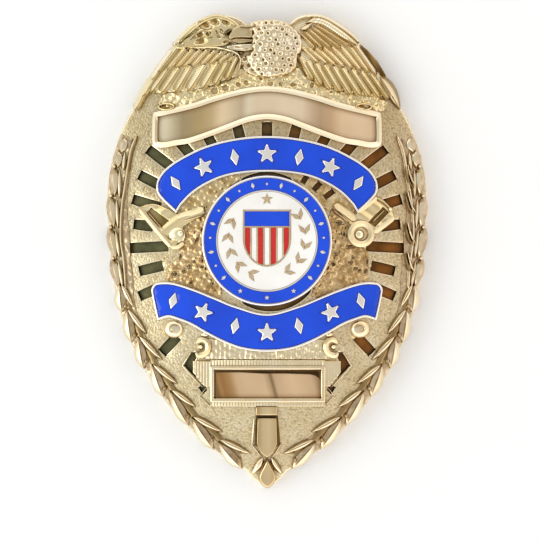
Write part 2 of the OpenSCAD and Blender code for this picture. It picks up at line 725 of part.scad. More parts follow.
module pin_back() {
    color(gold) translate([0, bar_y, 0]) difference() {
        union() {
            translate([-bar_w / 2, -bar_l / 2, bar_z]) cube([bar_w, bar_l, bar_t]);
            for (way = [1, -1])
                translate([-block_w / 2, way * (bar_l / 2 - block_l / 2) - block_l / 2, stem_z])
                    cube([block_w, block_l, bar_z - stem_z]);
            for (way = [1, -1])
                translate([0, way * (bar_l / 2 - block_l / 2), stem_z]) rotate([90, 0, 0])
                    cylinder(d = knuckle_d, h = block_l, center = true);
            translate([0, 0, stem_z]) rotate([90, 0, 0])
                cylinder(d = pin_d, h = bar_l - block_l, center = true);
        }
        for (way = [1, -1]) translate([0, way * post_y, bar_z - below])
            cylinder(d = post_d + 2 * pin_gap, h = bar_t + 2 * below);
    }
}

shield();
upper_ribbon_enamel();
lower_ribbon_enamel();
seal_disc();
seal_ring_enamel();
seal_field_enamel();
seal_chief_enamel();
pin_back();
for (i = [1 : 4]) red_pale(i);
for (i = [1 : 3]) white_pale(i);
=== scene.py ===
"""Looks of a police shield badge: gold relief, stippled sunburst, blue enamel ribbons and an enamelled seal.

Lengths in this script are millimetres in the frame of the solids, and become metres in build().
Heights of relief are measured from the domed face.
"""
import math

import bmesh
import bpy
import numpy as np
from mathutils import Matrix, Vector
from mathutils.geometry import delaunay_2d_cdt

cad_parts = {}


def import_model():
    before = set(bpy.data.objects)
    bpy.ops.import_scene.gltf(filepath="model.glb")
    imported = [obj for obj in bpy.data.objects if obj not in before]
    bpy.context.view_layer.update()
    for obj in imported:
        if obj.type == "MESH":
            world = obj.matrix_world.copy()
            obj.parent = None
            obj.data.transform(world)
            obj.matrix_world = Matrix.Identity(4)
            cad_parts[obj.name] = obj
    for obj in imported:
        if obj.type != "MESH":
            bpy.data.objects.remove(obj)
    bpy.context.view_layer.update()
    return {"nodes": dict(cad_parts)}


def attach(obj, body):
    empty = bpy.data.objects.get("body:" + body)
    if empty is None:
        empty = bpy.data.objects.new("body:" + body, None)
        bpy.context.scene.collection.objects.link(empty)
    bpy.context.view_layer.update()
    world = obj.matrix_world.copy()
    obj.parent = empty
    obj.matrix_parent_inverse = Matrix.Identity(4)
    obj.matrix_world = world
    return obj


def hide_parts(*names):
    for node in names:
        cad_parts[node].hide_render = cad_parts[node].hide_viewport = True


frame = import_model()

MM = 0.001
HALF_W = 25.6
HALF_H = 38.1
EDGE_T = 2.0
WALL = 2.0
DOME_RISE = 5.2
DOME_Y = 0.063 * HALF_H
PLATE_W = HALF_W - 0.45
SEAL_Y = 0.038 * HALF_H
# Distances over which the dome falls by its rise toward the eagle and toward the point
RUN_UP = 0.945 * HALF_H
RUN_DOWN = 0.985 * HALF_H


# Geometry

def face(x, y):
    """Height of the domed face."""
    run = np.where(np.asarray(y) > DOME_Y, RUN_UP, RUN_DOWN)
    return EDGE_T + DOME_RISE * (1 - (np.asarray(x) / HALF_W) ** 2 - ((np.asarray(y) - DOME_Y) / run) ** 2)


def mix(a, b, t):
    return (a[0] + (b[0] - a[0]) * t, a[1] + (b[1] - a[1]) * t)


def right_of(a, b):
    """Unit vector to the right of the way from a to b."""
    dx, dy = b[0] - a[0], b[1] - a[1]
    long = math.hypot(dx, dy) or 1.0
    return (dy / long, -dx / long)


def on_circle(c, r, angle):
    """The point at an angle in radians on the circle of radius r about c."""
    return (c[0] + r * math.cos(angle), c[1] + r * math.sin(angle))


def turned(loop, c, degrees):
    """The loop turned about its own origin and moved to c."""
    t = math.radians(degrees)
    cos_t = math.cos(t)
    sin_t = math.sin(t)
    return [(c[0] + x * cos_t - y * sin_t, c[1] + x * sin_t + y * cos_t) for x, y in loop]


def rectangle(a, b):
    """Corners of an upright rectangle from its lower left and upper right corner."""
    return [(a[0], a[1]), (b[0], a[1]), (b[0], b[1]), (a[0], b[1])]


def arc(a, b, s, n):
    """n points from a on the arc to b that stands s to the right of its chord, without b."""
    c = math.dist(a, b)
    r = (c * c / 4 + s * s) / (2 * s)
    u = right_of(a, b)
    o = ((a[0] + b[0]) / 2 - u[0] * (r - s), (a[1] + b[1]) / 2 - u[1] * (r - s))
    start = math.atan2(a[1] - o[1], a[0] - o[0])
    sweep = 2 * math.asin(min(1, c / 2 / r))
    return [on_circle(o, r, start + sweep * i / n) for i in range(n)]


def sided(points, way):
    """The points for way 1, and their mirror images in the same order for way -1."""
    return [(way * x, y) for x, y in points]


def mirror(points):
    """The mirror images in the opposite order, so that a loop keeps its sense."""
    return sided(reversed(points), -1)


def mirrored_loop(half):
    """A closed loop from a right half that starts and ends on the middle line."""
    return half + mirror(half[1:-1])


def resample(loop, step):
    """The closed loop with no side longer than step."""
    out = []
    for a, b in zip(loop, loop[1:] + loop[:1]):
        n = max(1, math.ceil(math.dist(a, b) / step - 1e-6))
        out += [mix(a, b, i / n) for i in range(n)]
    return out


def spline(points, corners=(), n=6, closed=True):
    """A smooth line through points, with sharp corners at the given indices."""
    count = len(points)
    out = []
    for i in range(count if closed else count - 1):
        p1, p2 = points[i], points[(i + 1) % count]
        p0 = points[i - 1] if (closed or i > 0) and i not in corners else p1
        p3 = points[(i + 2) % count] if closed or i + 2 < count else p2
        if (i + 1) % count in corners:
            p3 = p2
        chord = math.dist(p1, p2)
        m1 = tuple((p2[k] - p0[k]) / (math.dist(p0, p2) or 1) * chord for k in (0, 1))
        m2 = tuple((p3[k] - p1[k]) / (math.dist(p1, p3) or 1) * chord for k in (0, 1))
        for j in range(n):
            t = j / n
            h = (2 * t ** 3 - 3 * t ** 2 + 1, t ** 3 - 2 * t ** 2 + t,
                 -2 * t ** 3 + 3 * t ** 2, t ** 3 - t ** 2)
            out.append(tuple(h[0] * p1[k] + h[1] * m1[k] + h[2] * p2[k] + h[3] * m2[k] for k in (0, 1)))
    return out if closed else out + [points[-1]]


def smooth(line, n=6):
    """An open smooth line through points."""
    return spline(line, n=n, closed=False)


def area(loop):
    return sum(a[0] * b[1] - a[1] * b[0] for a, b in zip(loop, loop[1:] + loop[:1])) / 2


def edges_of(loops):
    a = np.array([p for loop in loops for p in loop], float)
    b = np.array([p for loop in loops for p in loop[1:] + loop[:1]], float)
    return a, b


def inside(points, loops):
    """Which points lie inside the loops, even-odd."""
    a, b = edges_of(loops)
    points = np.asarray(points, float)
    hit = np.zeros(len(points), bool)
    for lo in range(0, len(points), 4000):
        x = points[lo:lo + 4000, 0:1]
        y = points[lo:lo + 4000, 1:2]
        cross = (a[:, 1] > y) != (b[:, 1] > y)
        dy = np.where(b[:, 1] == a[:, 1], 1, b[:, 1] - a[:, 1])
        where = (b[:, 0] - a[:, 0]) * (y - a[:, 1]) / dy + a[:, 0]
        hit[lo:lo + 4000] = (cross & (x < where)).sum(axis=1) % 2 == 1
    return hit


def distance(points, loops):
    """Distance of each point from the nearest loop."""
    a, b = edges_of(loops)
    points = np.asarray(points, float)
    out = np.zeros(len(points))
    d = b - a
    ll = np.maximum((d ** 2).sum(axis=1), 1e-12)
    for lo in range(0, len(points), 2000):
        p = points[lo:lo + 2000, None, :]
        t = np.clip(((p - a) * d).sum(axis=2) / ll, 0, 1)
        out[lo:lo + 2000] = np.sqrt((((a + t[..., None] * d) - p) ** 2).sum(axis=2).min(axis=1))
    return out


def inward(loop):
    """Unit vectors to the left at each corner of a loop, longer at sharp corners."""
    out = []
    n = len(loop)
    for i in range(n):
        a = right_of(loop[i - 1], loop[i])
        b = right_of(loop[i], loop[(i + 1) % n])
        x, y = -(a[0] + b[0]), -(a[1] + b[1])
        long = x * x + y * y
        k = 2 / long if long > 0.35 else 2.4 / max(long, 0.05) ** 0.5
        out.append((x * k, y * k))
    return out


def orient(loops):
    """Outer loops counterclockwise and holes clockwise, so that the metal is on the left."""
    out = []
    for i, loop in enumerate(loops):
        others = [o for j, o in enumerate(loops) if j != i]
        depth = sum(bool(inside([loop[0]], [o])[0]) for o in others)
        out.append(loop if (area(loop) > 0) == (depth % 2 == 0) else loop[::-1])
    return out


def offset(loop, grow):
    """The loop moved outward by grow."""
    loop = loop if area(loop) > 0 else loop[::-1]
    return [(p[0] - n[0] * grow, p[1] - n[1] * grow) for p, n in zip(loop, inward(loop))]


# Rows of the net inside a relief stand this share of its spacing apart
NET_ROW = 0.866
# Points of a rounded edge that come nearer to another side than this share of their distance are left out
NEAR_SHARE = 0.85


def edge_points(loops, rows, edge):
    """Points inside the loops at shares of the width of their rounded edge."""
    points = []
    wanted = []
    for share in rows:
        for loop in loops:
            for p, n in zip(loop, inward(loop)):
                points.append((p[0] + n[0] * share * edge, p[1] + n[1] * share * edge))
                wanted.append(share * edge)
    keep = inside(points, loops) & (distance(points, loops) > NEAR_SHARE * np.array(wanted))
    return [p for p, k in zip(points, keep) if k]


def net_points(loops, spacing, edge):
    """A staggered net of points inside the loops, clear of their rounded edge."""
    outline = [p for loop in loops for p in loop]
    low, high = np.min(outline, axis=0), np.max(outline, axis=0)
    net = []
    row = 0
    y = low[1]
    while y < high[1]:
        x = low[0] + (0.25 if row % 2 else 0.75) * spacing
        while x < high[0]:
            net.append((x, y))
            x += spacing
        y += spacing * NET_ROW
        row += 1
    net = [p for p, k in zip(net, inside(net, loops)) if k]
    return [p for p, k in zip(net, distance(net, loops)) if k > edge + 0.45 * spacing]


def triangles(points, sides, loops):
    """Places and counterclockwise triangles of the area inside the loops."""
    coords, _, tris, *_ = delaunay_2d_cdt([Vector(p) for p in points], sides, [], 0, 1e-6)
    flat = np.array([(v[0], v[1]) for v in coords])
    tris = [tuple(t) for t in tris if len(t) == 3]
    faces = []
    for t, k in zip(tris, inside([flat[list(t)].mean(axis=0) for t in tris], loops)):
        if k:
            a, b, c = flat[list(t)]
            turn = (b[0] - a[0]) * (c[1] - a[1]) - (b[1] - a[1]) * (c[0] - a[0])
            faces.append(t if turn > 0 else t[::-1])
    return flat, faces


# Sections: place as a share of the half width, height as a share of the full height
# A feather, from its left edge over the groove of its shaft to its right edge
FEATHER_LINE = [
    (-1, 0.38), (-0.75, 0.58), (-0.5, 0.76), (-0.3, 0.9), (-0.16, 0.98), (0, 0.86), (0.16, 1.0), (0.3, 0.92),
    (0.5, 0.76), (0.75, 0.58), (1, 0.38)]
# How far leaves and most reliefs reach into the face
FOOT = -0.6
LEAF_STEPS = 12
LEAF_SIDES = 8
BLADE_STEPS = 14
BLADE_PEAK = 0.56
BLADE_LIP = 0.1
FEATHER_STEPS = 14
CORD_SIDES = 8
# Slope of the facets that catch the light
FACET_SLOPE = 0.62


def laurel_section(s):
    """A sharp ridge between raised edges."""
    q = abs(s)
    return 0.42 + 0.58 * max(0, 1 - q / 0.5) ** 1.3 + 0.3 * max(0, (q - 0.5) / 0.5) ** 1.2


def round_section(s):
    """A round back."""
    q = abs(s)
    return 0.25 + 0.75 * math.sqrt(max(0, 1 - q * q))


def ridge_section(s):
    """Two plain slopes that meet right of the middle."""
    return 0.35 + 0.65 * (1 - abs(s - 0.15) / (1.15 if s < 0.15 else 0.85)) + 0.12 * (abs(s) > 0.99)


SECTIONS = {"laurel": laurel_section, "round": round_section, "ridge": ridge_section}


def facet(s, ridge, edge):
    """Height at a place of a blade's plain facet, from its ridge to the lip along its edge."""
    far = (s - ridge) / (math.copysign(1, s) - ridge)
    return 1 + (edge + BLADE_LIP - 1) * far


def swayed(a, b, t, bend):
    """The point at a share of the way from a to b, bent to its right by a share of its length."""
    u = right_of(a, b)
    c = mix(a, b, t)
    sway = bend * math.dist(a, b) * 4 * t * (1 - t)
    return (c[0] + u[0] * sway, c[1] + u[1] * sway)


def on_face(row):
    """The row with heights counted from the domed face."""
    return [(x, y, float(face(x, y)) + h) for x, y, h in row]


def section(c, u, half, line):
    """A row across a form at c, along u: places are shares of half, heights are counted from the face."""
    return on_face([(c[0] + u[0] * half * s, c[1] + u[1] * half * s, h) for s, h in line])


class Mesh:
    """Vertices and faces of one piece, in millimetres, with a material index for each face."""

    def __init__(self):
        self.verts = []
        self.faces = []
        self.marks = []
        self.ground = face

    def add(self, verts, faces, mark=0):
        base = len(self.verts)
        self.verts += [tuple(float(c) for c in v) for v in verts]
        self.faces += [tuple(base + i for i in f) for f in faces]
        self.marks += [mark] * len(faces)

    def grid(self, rows, mark=0, closed=False):
        """A net of quads through rows of points. A list of marks has one for each quad of a row."""
        n = len(rows[0])
        faces = []
        for i in range(len(rows) - 1):
            for j in range(n if closed else n - 1):
                k = (j + 1) % n
                faces.append((i * n + j, i * n + k, (i + 1) * n + k, (i + 1) * n + j))
        self.add([p for row in rows for p in row], faces, mark)
        if isinstance(mark, list):
            self.marks[-len(faces):] = mark * (len(rows) - 1)

    def relief(self, loops, height=0.0, spacing=0.6, edge=0.2, foot=FOOT, rows=(0.12, 0.45, 1.0), mark=0,
               wall_mark=None, rim_mark=None):
        """A raised shape: its top follows height, its rim is rounded over edge, its wall goes to foot.

        wall_mark holds the marks of the outer wall and of the holes' walls.
        """
        loops = orient([resample(loop, spacing) for loop in loops])
        points = [p for loop in loops for p in loop]
        sides = []
        for loop in loops:
            base = len(sides)
            sides += [(base + i, base + (i + 1) % len(loop)) for i in range(len(loop))]
        if edge:
            points = points + edge_points(loops, rows, edge)
        flat, faces = triangles(points + net_points(loops, spacing, edge), sides, loops)
        z = self.top_of(flat, loops, height, edge)
        self.add([(p[0], p[1], h) for p, h in zip(flat, z)], faces, mark)
        if rim_mark is not None:
            near = distance([flat[list(f)].mean(axis=0) for f in faces], loops) < edge
            self.marks[-len(faces):] = [rim_mark if close else mark for close in near]
        for i, loop in enumerate(loops):
            xy = np.array(loop)
            x, y = xy[:, 0], xy[:, 1]
            top = self.top_of(xy, loops, height, edge, rim=True)
            low = np.broadcast_to(foot(i, x, y) if callable(foot) else self.ground(x, y) + foot, top.shape)
            wall = [[(p[0], p[1], h) for p, h in zip(xy, z)] for z in (low, top)]
            self.grid(wall, mark if wall_mark is None else wall_mark[min(i, 1)], closed=True)

    def top_of(self, xy, loops, height, edge, rim=False):
        """Heights of a relief's top at places inside it or on its rim."""
        x, y = xy[:, 0], xy[:, 1]
        h = height(x, y) if callable(height) else np.full(len(x), float(height))
        if not edge:
            return self.ground(x, y) + h
        near = np.zeros(len(x)) if rim else distance(xy, loops)
        share = 1 - np.clip(near / edge, 0, 1)
        return self.ground(x, y) + h - edge * (1 - np.sqrt(np.maximum(0, 1 - share ** 2)))

    def leaf(self, a, b, width, high, bend=0.0, style="laurel", mark=0):
        """A pointed leaf from a to b, bent to its right by a share of its length."""
        u = right_of(a, b)
        shape = SECTIONS[style]
        rows = []
        for i in range(LEAF_STEPS + 1):
            t = i / LEAF_STEPS
            swell = math.sin(math.pi * t ** 0.8) ** 0.72 if 0 < t < 1 else 0.0
            lift = high * (0.35 + 0.65 * math.sin(math.pi * min(1, t * 0.9 + 0.12)) ** 0.6)
            places = [-1 + 2 * j / LEAF_SIDES for j in range(LEAF_SIDES + 1)]
            line = [(-1, FOOT)] + [(s, lift * shape(s)) for s in places] + [(1, FOOT)]
            rows.append(section(swayed(a, b, t, bend), u, max(0.03, width / 2 * swell), line))
        self.grid(rows, mark)

    def blade(self, a, b, left, right, high, ridge, edges, facet_shades):
        """A leaf of two plain facets that meet in a ridge, each with its own width, edge height and tone; the
        tones paint one facet in shade.
        """
        u = right_of(a, b)
        power = math.log(0.5) / math.log(BLADE_PEAK)
        low, other = edges
        line = [(-1, low), (-0.93, low + BLADE_LIP), (-0.5, facet(-0.5, ridge, low)),
                (ridge - 0.06, 0.985), (ridge, 1), (ridge + 0.06, 0.985),
                (0.6, facet(0.6, ridge, other)), (0.93, other + BLADE_LIP), (1, other)]
        rows = []
        for i in range(BLADE_STEPS + 1):
            t = i / BLADE_STEPS
            c = mix(a, b, t)
            swell = max(0.04, math.sin(math.pi * t ** power) ** 0.75) if 0 < t < 1 else 0.04
            lift = high * (0.55 + 0.45 * math.sin(math.pi * min(1, 0.15 + 0.8 * t)))
            row = [((left if s < 0 else right) * swell * s, lift * h) for s, h in line]
            row = [(row[0][0], FOOT)] + row + [(row[-1][0], FOOT)]
            rows.append(on_face([(c[0] + u[0] * side, c[1] + u[1] * side, h) for side, h in row]))
        self.grid(rows, [facet_shades[0]] * 5 + [facet_shades[1]] * 5)

    def feather(self, a, b, width, high, rise, lean, mark):
        """A feather from its root a to its rounded tip b, with a shaft that leans to one side."""
        u = right_of(a, b)
        long = math.dist(a, b)
        rows = []
        for i in range(FEATHER_STEPS + 1):
            t = i / FEATHER_STEPS
            tail = (1 - t) * long / (0.7 * width)
            half = width / 2 * (math.sqrt(max(0.0, 1 - (1 - tail) ** 2)) if tail < 1 else 1.0)
            lift = high * (1 - rise + rise * t)
            line = [(lean + (1 - lean if q > 0 else 1 + lean) * q, lift * h) for q, h in FEATHER_LINE]
            line = [(-1, FOOT)] + line + [(1, FOOT)]
            rows.append(section(mix(a, b, t), u, max(0.02, half), line))
        self.grid(rows, mark)

    def cord(self, path, radius, high, foot=-0.3, taper=0.0, closed=False, slope=0.0, mark=0):
        """A half-round bead along a path on the face, or one with two plain facets of the slope."""
        n = len(path)
        rows = []
        for i, p in enumerate(path):
            before = path[i - 1] if closed or i > 0 else p
            after = path[(i + 1) % n] if closed or i < n - 1 else p
            r = radius(i / max(1, n - 1)) if callable(radius) else radius
            if taper and not closed:
                end = min(i, n - 1 - i) / max(1, n - 1) / taper
                r *= min(1, 0.25 + 0.75 * end)
            line = [(-1, foot)]
            for j in range(CORD_SIDES + 1):
                t = math.pi * j / CORD_SIDES
                top = high - slope * r * abs(math.cos(t)) if slope else high * (0.3 + 0.7 * math.sin(t))
                line.append((-math.cos(t), top))
            rows.append(section(p, right_of(before, after), r, line + [(1, foot)]))
        if closed:
            rows.append(rows[0])
        self.grid(rows, mark)
        for row in () if closed else (rows[0], rows[-1]):
            self.add(row, [tuple(range(len(row)))], mark)

    def cords(self, table):
        """Open cords from a table: path, radius, height, foot, taper, mark."""
        for path, radius, high, foot, taper, mark in table:
            self.cord(smooth(path), radius, high, foot, taper, mark=mark)

    def knob(self, c, radius, high, foot=-0.4, around=14, up=5, stretch=1.0, angle=0.0, mark=0):
        """A rounded knob on the face."""
        rows = []
        for i in range(up + 2):
            t = max(0, i - 1) / up * math.pi / 2
            r = max(radius * math.cos(t), 0.01)
            ways = [2 * math.pi * j / around for j in range(around)]
            ring = [(r * stretch * math.cos(w), r * math.sin(w)) for w in ways]
            z = high * math.sin(t) if i else foot
            rows.append(on_face([(x, y, z) for x, y in turned(ring, c, angle)]))
        self.grid(rows, mark, closed=True)


def pebbles(x, y, step, high, seed=0.0):
    """Rounded bumps of uneven size in an uneven net."""
    h = np.zeros(len(x))
    for i in range(-1, 2):
        for j in range(-1, 2):
            gx, gy = np.round(x / step) + i, np.round(y / step) + j
            jx = 0.36 * np.sin(12.9898 * gx + 78.233 * gy + seed)
            jy = 0.36 * np.sin(39.346 * gx + 11.135 * gy + 1.7 + seed)
            size = 0.36 + 0.12 * np.sin(7.77 * gx + 5.31 * gy + seed)
            d = ((x / step - gx - jx) ** 2 + (y / step - gy - jy) ** 2) / size ** 2
            h = np.maximum(h, high * np.sqrt(np.clip(1 - d, 0, 1)))
    return h


def build(name, mesh, materials, replaced=(), sharp=38.0):
    """The piece as an object in metres that rides on the frame."""
    data = bpy.data.meshes.new(name)
    data.from_pydata([(x * MM, y * MM, z * MM) for x, y, z in mesh.verts], [], mesh.faces)
    for m in materials:
        data.materials.append(m)
    data.polygons.foreach_set("material_index", mesh.marks)
    bm = bmesh.new()
    bm.from_mesh(data)
    bmesh.ops.remove_doubles(bm, verts=bm.verts, dist=1.5e-6)
    bmesh.ops.dissolve_degenerate(bm, edges=bm.edges, dist=1e-7)
    bm.to_mesh(data)
    bm.free()
    data.polygons.foreach_set("use_smooth", [True] * len(data.polygons))
    data.set_sharp_from_angle(angle=math.radians(sharp))
    piece = bpy.data.objects.new(name, data)
    bpy.context.scene.collection.objects.link(piece)
    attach(piece, "root")
    if replaced:
        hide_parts(*replaced)
    return piece


# Materials

AO_SAMPLES = 8


class Nodes:
    """A node tree, with short ways to add the nodes that several materials share."""

    def __init__(self, tree):
        self.tree = tree
        tree.nodes.clear()

    def put(self, node, values):
        """Links sockets to a node's inputs and sets its constants. A tuple is a colour."""
        for key, value in values.items():
            if isinstance(value, bpy.types.NodeSocket):
                self.tree.links.new(value, node.inputs[key])
            else:
                node.inputs[key].default_value = (*value, 1) if isinstance(value, tuple) else value

    def new(self, kind, values=None, **settings):
        node = self.tree.nodes.new(kind)
        for key, value in settings.items():
            setattr(node, key, value)
        self.put(node, values or {})
        return node

    def math(self, op, *values, clamp=False):
        return self.new("ShaderNodeMath", dict(enumerate(values)), operation=op, use_clamp=clamp).outputs[0]

    def axes(self, place):
        return self.new("ShaderNodeSeparateXYZ", {0: place}).outputs

    def noise(self, place, scale, detail, rough=0.5):
        values = {"Vector": place, "Scale": scale, "Detail": detail, "Roughness": rough}
        return self.new("ShaderNodeTexNoise", values).outputs[0]

    def bump(self, height, strength, distance, invert=False):
        values = {"Height": height, "Strength": strength, "Distance": distance}
        return self.new("ShaderNodeBump", values, invert=invert).outputs[0]

    def ramp(self, fac, stops):
        node = self.new("ShaderNodeValToRGB", {"Fac": fac})
        while len(node.color_ramp.elements) < len(stops):
            node.color_ramp.elements.new(0.5)
        for element, (place, colour) in zip(node.color_ramp.elements, stops):
            element.position = place
            element.color = (*colour, 1)
        return node.outputs["Color"]

    def rise(self, fac, low, high):
        """0 below one value of fac and 1 above another."""
        return self.ramp(fac, [(low, (0, 0, 0)), (high, (1, 1, 1))])

    def open_share(self, reach, low, high):
        """0 in crevices and 1 on open ground, as far as other surfaces within reach matter; it masks painted
        shade.
        """
        shade = self.new("ShaderNodeAmbientOcclusion", {"Distance": reach * MM}, samples=AO_SAMPLES)
        return self.rise(shade.outputs["AO"], low, high)

    def blend(self, fac, a, b, kind="MIX"):
        return self.new("ShaderNodeMix", {0: fac, 6: a, 7: b}, data_type="RGBA", blend_type=kind).outputs[2]

    def times(self, colour, fac, stops):
        """The colour multiplied by a ramp of fac."""
        return self.blend(1.0, colour, self.ramp(fac, stops), "MULTIPLY")


def material(name):
    """An empty material, its nodes, its shader and the place on the object in metres."""
    m = bpy.data.materials.new(name)
    m.use_nodes = True
    n = Nodes(m.node_tree)
    shader = n.new("ShaderNodeBsdfPrincipled")
    n.new("ShaderNodeOutputMaterial", {0: shader.outputs[0]})
    return m, n, shader, n.new("ShaderNodeTexCoord").outputs["Object"]


GOLD = (0.8, 0.66, 0.43)
PALE = (0.87, 0.76, 0.57)
# Painted shade in crevices: olive toward the left and brown toward the right, standing for the room's
# reflections
OLIVE_SHADE = (0.25, 0.2, 0.095)
BROWN_SHADE = (0.33, 0.185, 0.07)
# Colour of the painted shade that darkens the stipple toward the top of the badge
TOP_SHADE = (0.3, 0.2, 0.09)
# Scales of textures and slopes are per metre, the step of a feather's lines is in millimetres
ACROSS = 60.0
GRAIN = 3300.0
BARB_STEP = 0.3
# Slope per metre of the painted shade toward the top
TOP_SHADE_SLOPE = 48.0
# Painted shade in the stipple's pits, the ground between them a touch lighter
STIPPLE_PIT_SHADE = [(0.4, (1.06, 1.06, 1.06)), (0.62, (0.93, 0.92, 0.88)), (0.85, (0.6, 0.56, 0.48))]


def across(n, place, left, right):
    """A colour that goes from left to right over the badge, for painted reflections of the room's two sides.
    """
    return n.blend(n.math("MULTIPLY_ADD", n.axes(place)[0], ACROSS, 0.5, clamp=True), left, right)


def stippled(n, place, colour, strength):
    """The colour with painted shade in its pits and the ground between them a touch lighter, and the bump of
    the same pits.
    """
    values = {"Vector": place, "Scale": GRAIN}
    cells = n.new("ShaderNodeTexVoronoi", values, feature="SMOOTH_F1").outputs["Distance"]
    fine = n.noise(place, GRAIN * 0.8, 2.0)
    coat = n.math("ADD", n.math("MULTIPLY", cells, 0.8), n.math("MULTIPLY", fine, 0.5))
    return n.blend(0.85, colour, n.times(colour, coat, STIPPLE_PIT_SHADE)), n.bump(coat, strength, 0.0001, invert=True)


def barbed(n, place, strength):
    """Height of the fine slanting lines of feathers, the same on both sides of the badge."""
    x, y, _ = n.axes(place)
    along = n.math("ADD", n.math("MULTIPLY", n.math("ABSOLUTE", x), 0.35), n.math("MULTIPLY", y, -0.94))
    lines = n.math("SINE", n.math("MULTIPLY", along, 2 * math.pi / (BARB_STEP * MM)))
    return n.math("MULTIPLY", lines, 0.5 * strength)


def gold(name, rough=0.2, light=GOLD, deep=PALE, shade_colours=(OLIVE_SHADE, BROWN_SHADE), reach=0.6, painted_shade=0.75, wave=0.0,
         barbs=0.0, stipple=0.0, top_shade=0.0, patch=260.0):
    """Plated metal: two tones in soft patches, painted shade in crevices, olive at the left and brown at the
    right, painted shade toward the top if asked, and a stippled, uneven or barbed surface.
    """
    m, n, shader, place = material(name)
    tone = n.blend(n.rise(n.noise(place, patch, 3.0, 0.6), 0.35, 0.68), light, deep)
    # Painted shade: crevices found by ambient occlusion take the shade colours
    crevice_shade = n.math("ADD", n.math("MULTIPLY", n.open_share(reach, 0.3, 0.9), painted_shade), 1 - painted_shade)
    colour = n.blend(crevice_shade, across(n, place, *shade_colours), tone)
    if stipple:
        colour, bump = stippled(n, place, colour, stipple)
        n.put(shader, {"Normal": bump})
    elif wave:
        height = n.math("MULTIPLY", n.noise(place, 900.0, 2.0), wave)
        if barbs:
            height = n.math("ADD", height, barbed(n, place, barbs))
        n.put(shader, {"Normal": n.bump(height, 1.0, 0.0002)})
    # Painted shade, deeper toward the top of the badge
    if top_shade:
        top = n.math("MULTIPLY", n.axes(place)[1], TOP_SHADE_SLOPE, clamp=True)
        colour = n.blend(n.math("MULTIPLY", top, top_shade), colour, TOP_SHADE)
    uneven = n.math("MULTIPLY_ADD", n.noise(place, 420.0, 4.0), 0.12, rough - 0.06)
    n.put(shader, {"Base Color": colour, "Metallic": 1.0, "Roughness": uneven})
    return m


def slot_floor(name):
    """The polished floor of a slot, in painted reflection: green-grey on the left, brown on the right, with
    painted shade near its walls.
    """
    m, n, shader, place = material(name)
    tone = across(n, place, (0.125, 0.125, 0.065), (0.23, 0.098, 0.026))
    tone = n.times(tone, n.noise(place, 330.0, 2.0), [(0.3, (0.65, 0.65, 0.65)), (0.7, (1.5, 1.4, 1.3))])
    colour = n.blend(n.open_share(1.0, 0.2, 0.9), (0.045, 0.034, 0.015), tone)
    bump = n.bump(n.noise(place, 1500.0, 3.0), 0.3, 0.0001)
    n.put(shader, {"Base Color": colour, "Normal": bump, "Metallic": 1.0, "Roughness": 0.35})
    return m


def enamel(name, colour, deep):
    """Glassy fired enamel, with painted shade near its walls, where its colour goes to the deeper one."""
    m, n, shader, place = material(name)
    cloudy = tuple(0.6 * a + 0.4 * b for a, b in zip(colour, deep))
    body = n.blend(n.rise(n.noise(place, 180.0, 3.0), 0.3, 0.75), colour, cloudy)
    colour = n.blend(n.open_share(0.5, 0.5, 0.95), deep, body)
    bump = n.bump(n.noise(place, 220.0, 1.0), 0.08, 0.0002)
    n.put(shader, {"Base Color": colour, "Coat Normal": bump, "Roughness": 0.35, "Coat Weight": 1.0,
                   "Coat IOR": 1.38, "Coat Roughness": 0.05, "Specular IOR Level": 0.1})
    return m


def panel_floor(name, half, reflection_bands, rough=0.16, lean=0.0, middle=0.0, metal=1.0):
    """Polished blank panel of a half width. Its bands, upright or leaning, are painted reflections of the
    room, and painted shade darkens it near its walls.
    """
    m, n, shader, place = material(name)
    x, y, _ = n.axes(place)
    bend = n.noise(place, 60.0, 1.0)
    slant = n.math("ADD", x, n.math("MULTIPLY", n.math("SUBTRACT", y, middle * MM), lean))
    share = n.math("ADD", n.math("MULTIPLY", slant, 0.5 / (half * MM)), n.math("MULTIPLY", bend, 0.04))
    tone = n.ramp(n.math("ADD", share, 0.48), reflection_bands)
    tone = n.times(tone, n.noise(place, 130.0, 2.0), [(0.3, (0.9, 0.88, 0.85)), (0.7, (1.06, 1.06, 1.05))])
    tone = n.blend(n.open_share(0.9, 0.3, 0.95), (0.25, 0.15, 0.06), tone)
    n.put(shader, {"Base Color": tone, "Metallic": metal, "Roughness": rough})
    return m


GOLD_RELIEF = gold("gold_relief", wave=0.12)
GOLD_WING = gold("gold_wing", 0.22, (0.82, 0.7, 0.44), (0.88, 0.78, 0.55), painted_shade=0.45, wave=0.1, barbs=0.14)
GOLD_PLUME = gold("gold_plume", 0.22, (0.94, 0.81, 0.56), (0.98, 0.89, 0.69), painted_shade=0.3, wave=0.1, barbs=0.14)
GOLD_HUMP = gold("gold_hump", 0.22, (0.8, 0.65, 0.36), (0.86, 0.74, 0.47), painted_shade=0.6, wave=0.14)
GOLD_MOSS = gold("gold_moss", 0.28, (0.5, 0.34, 0.14), (0.9, 0.73, 0.44), reach=0.8, painted_shade=0.7, wave=0.2,
                 patch=620.0)
GOLD_EDGE = gold("gold_edge", 0.2, (0.72, 0.58, 0.34), (0.78, 0.65, 0.42), painted_shade=0.7, wave=0.12)
# Dark amber for knobs in pits and in the scroll eyes: painted shade
GOLD_AMBER_SHADE = gold("gold_amber_shade", 0.3, (0.36, 0.21, 0.06), (0.46, 0.29, 0.1), painted_shade=0.6)
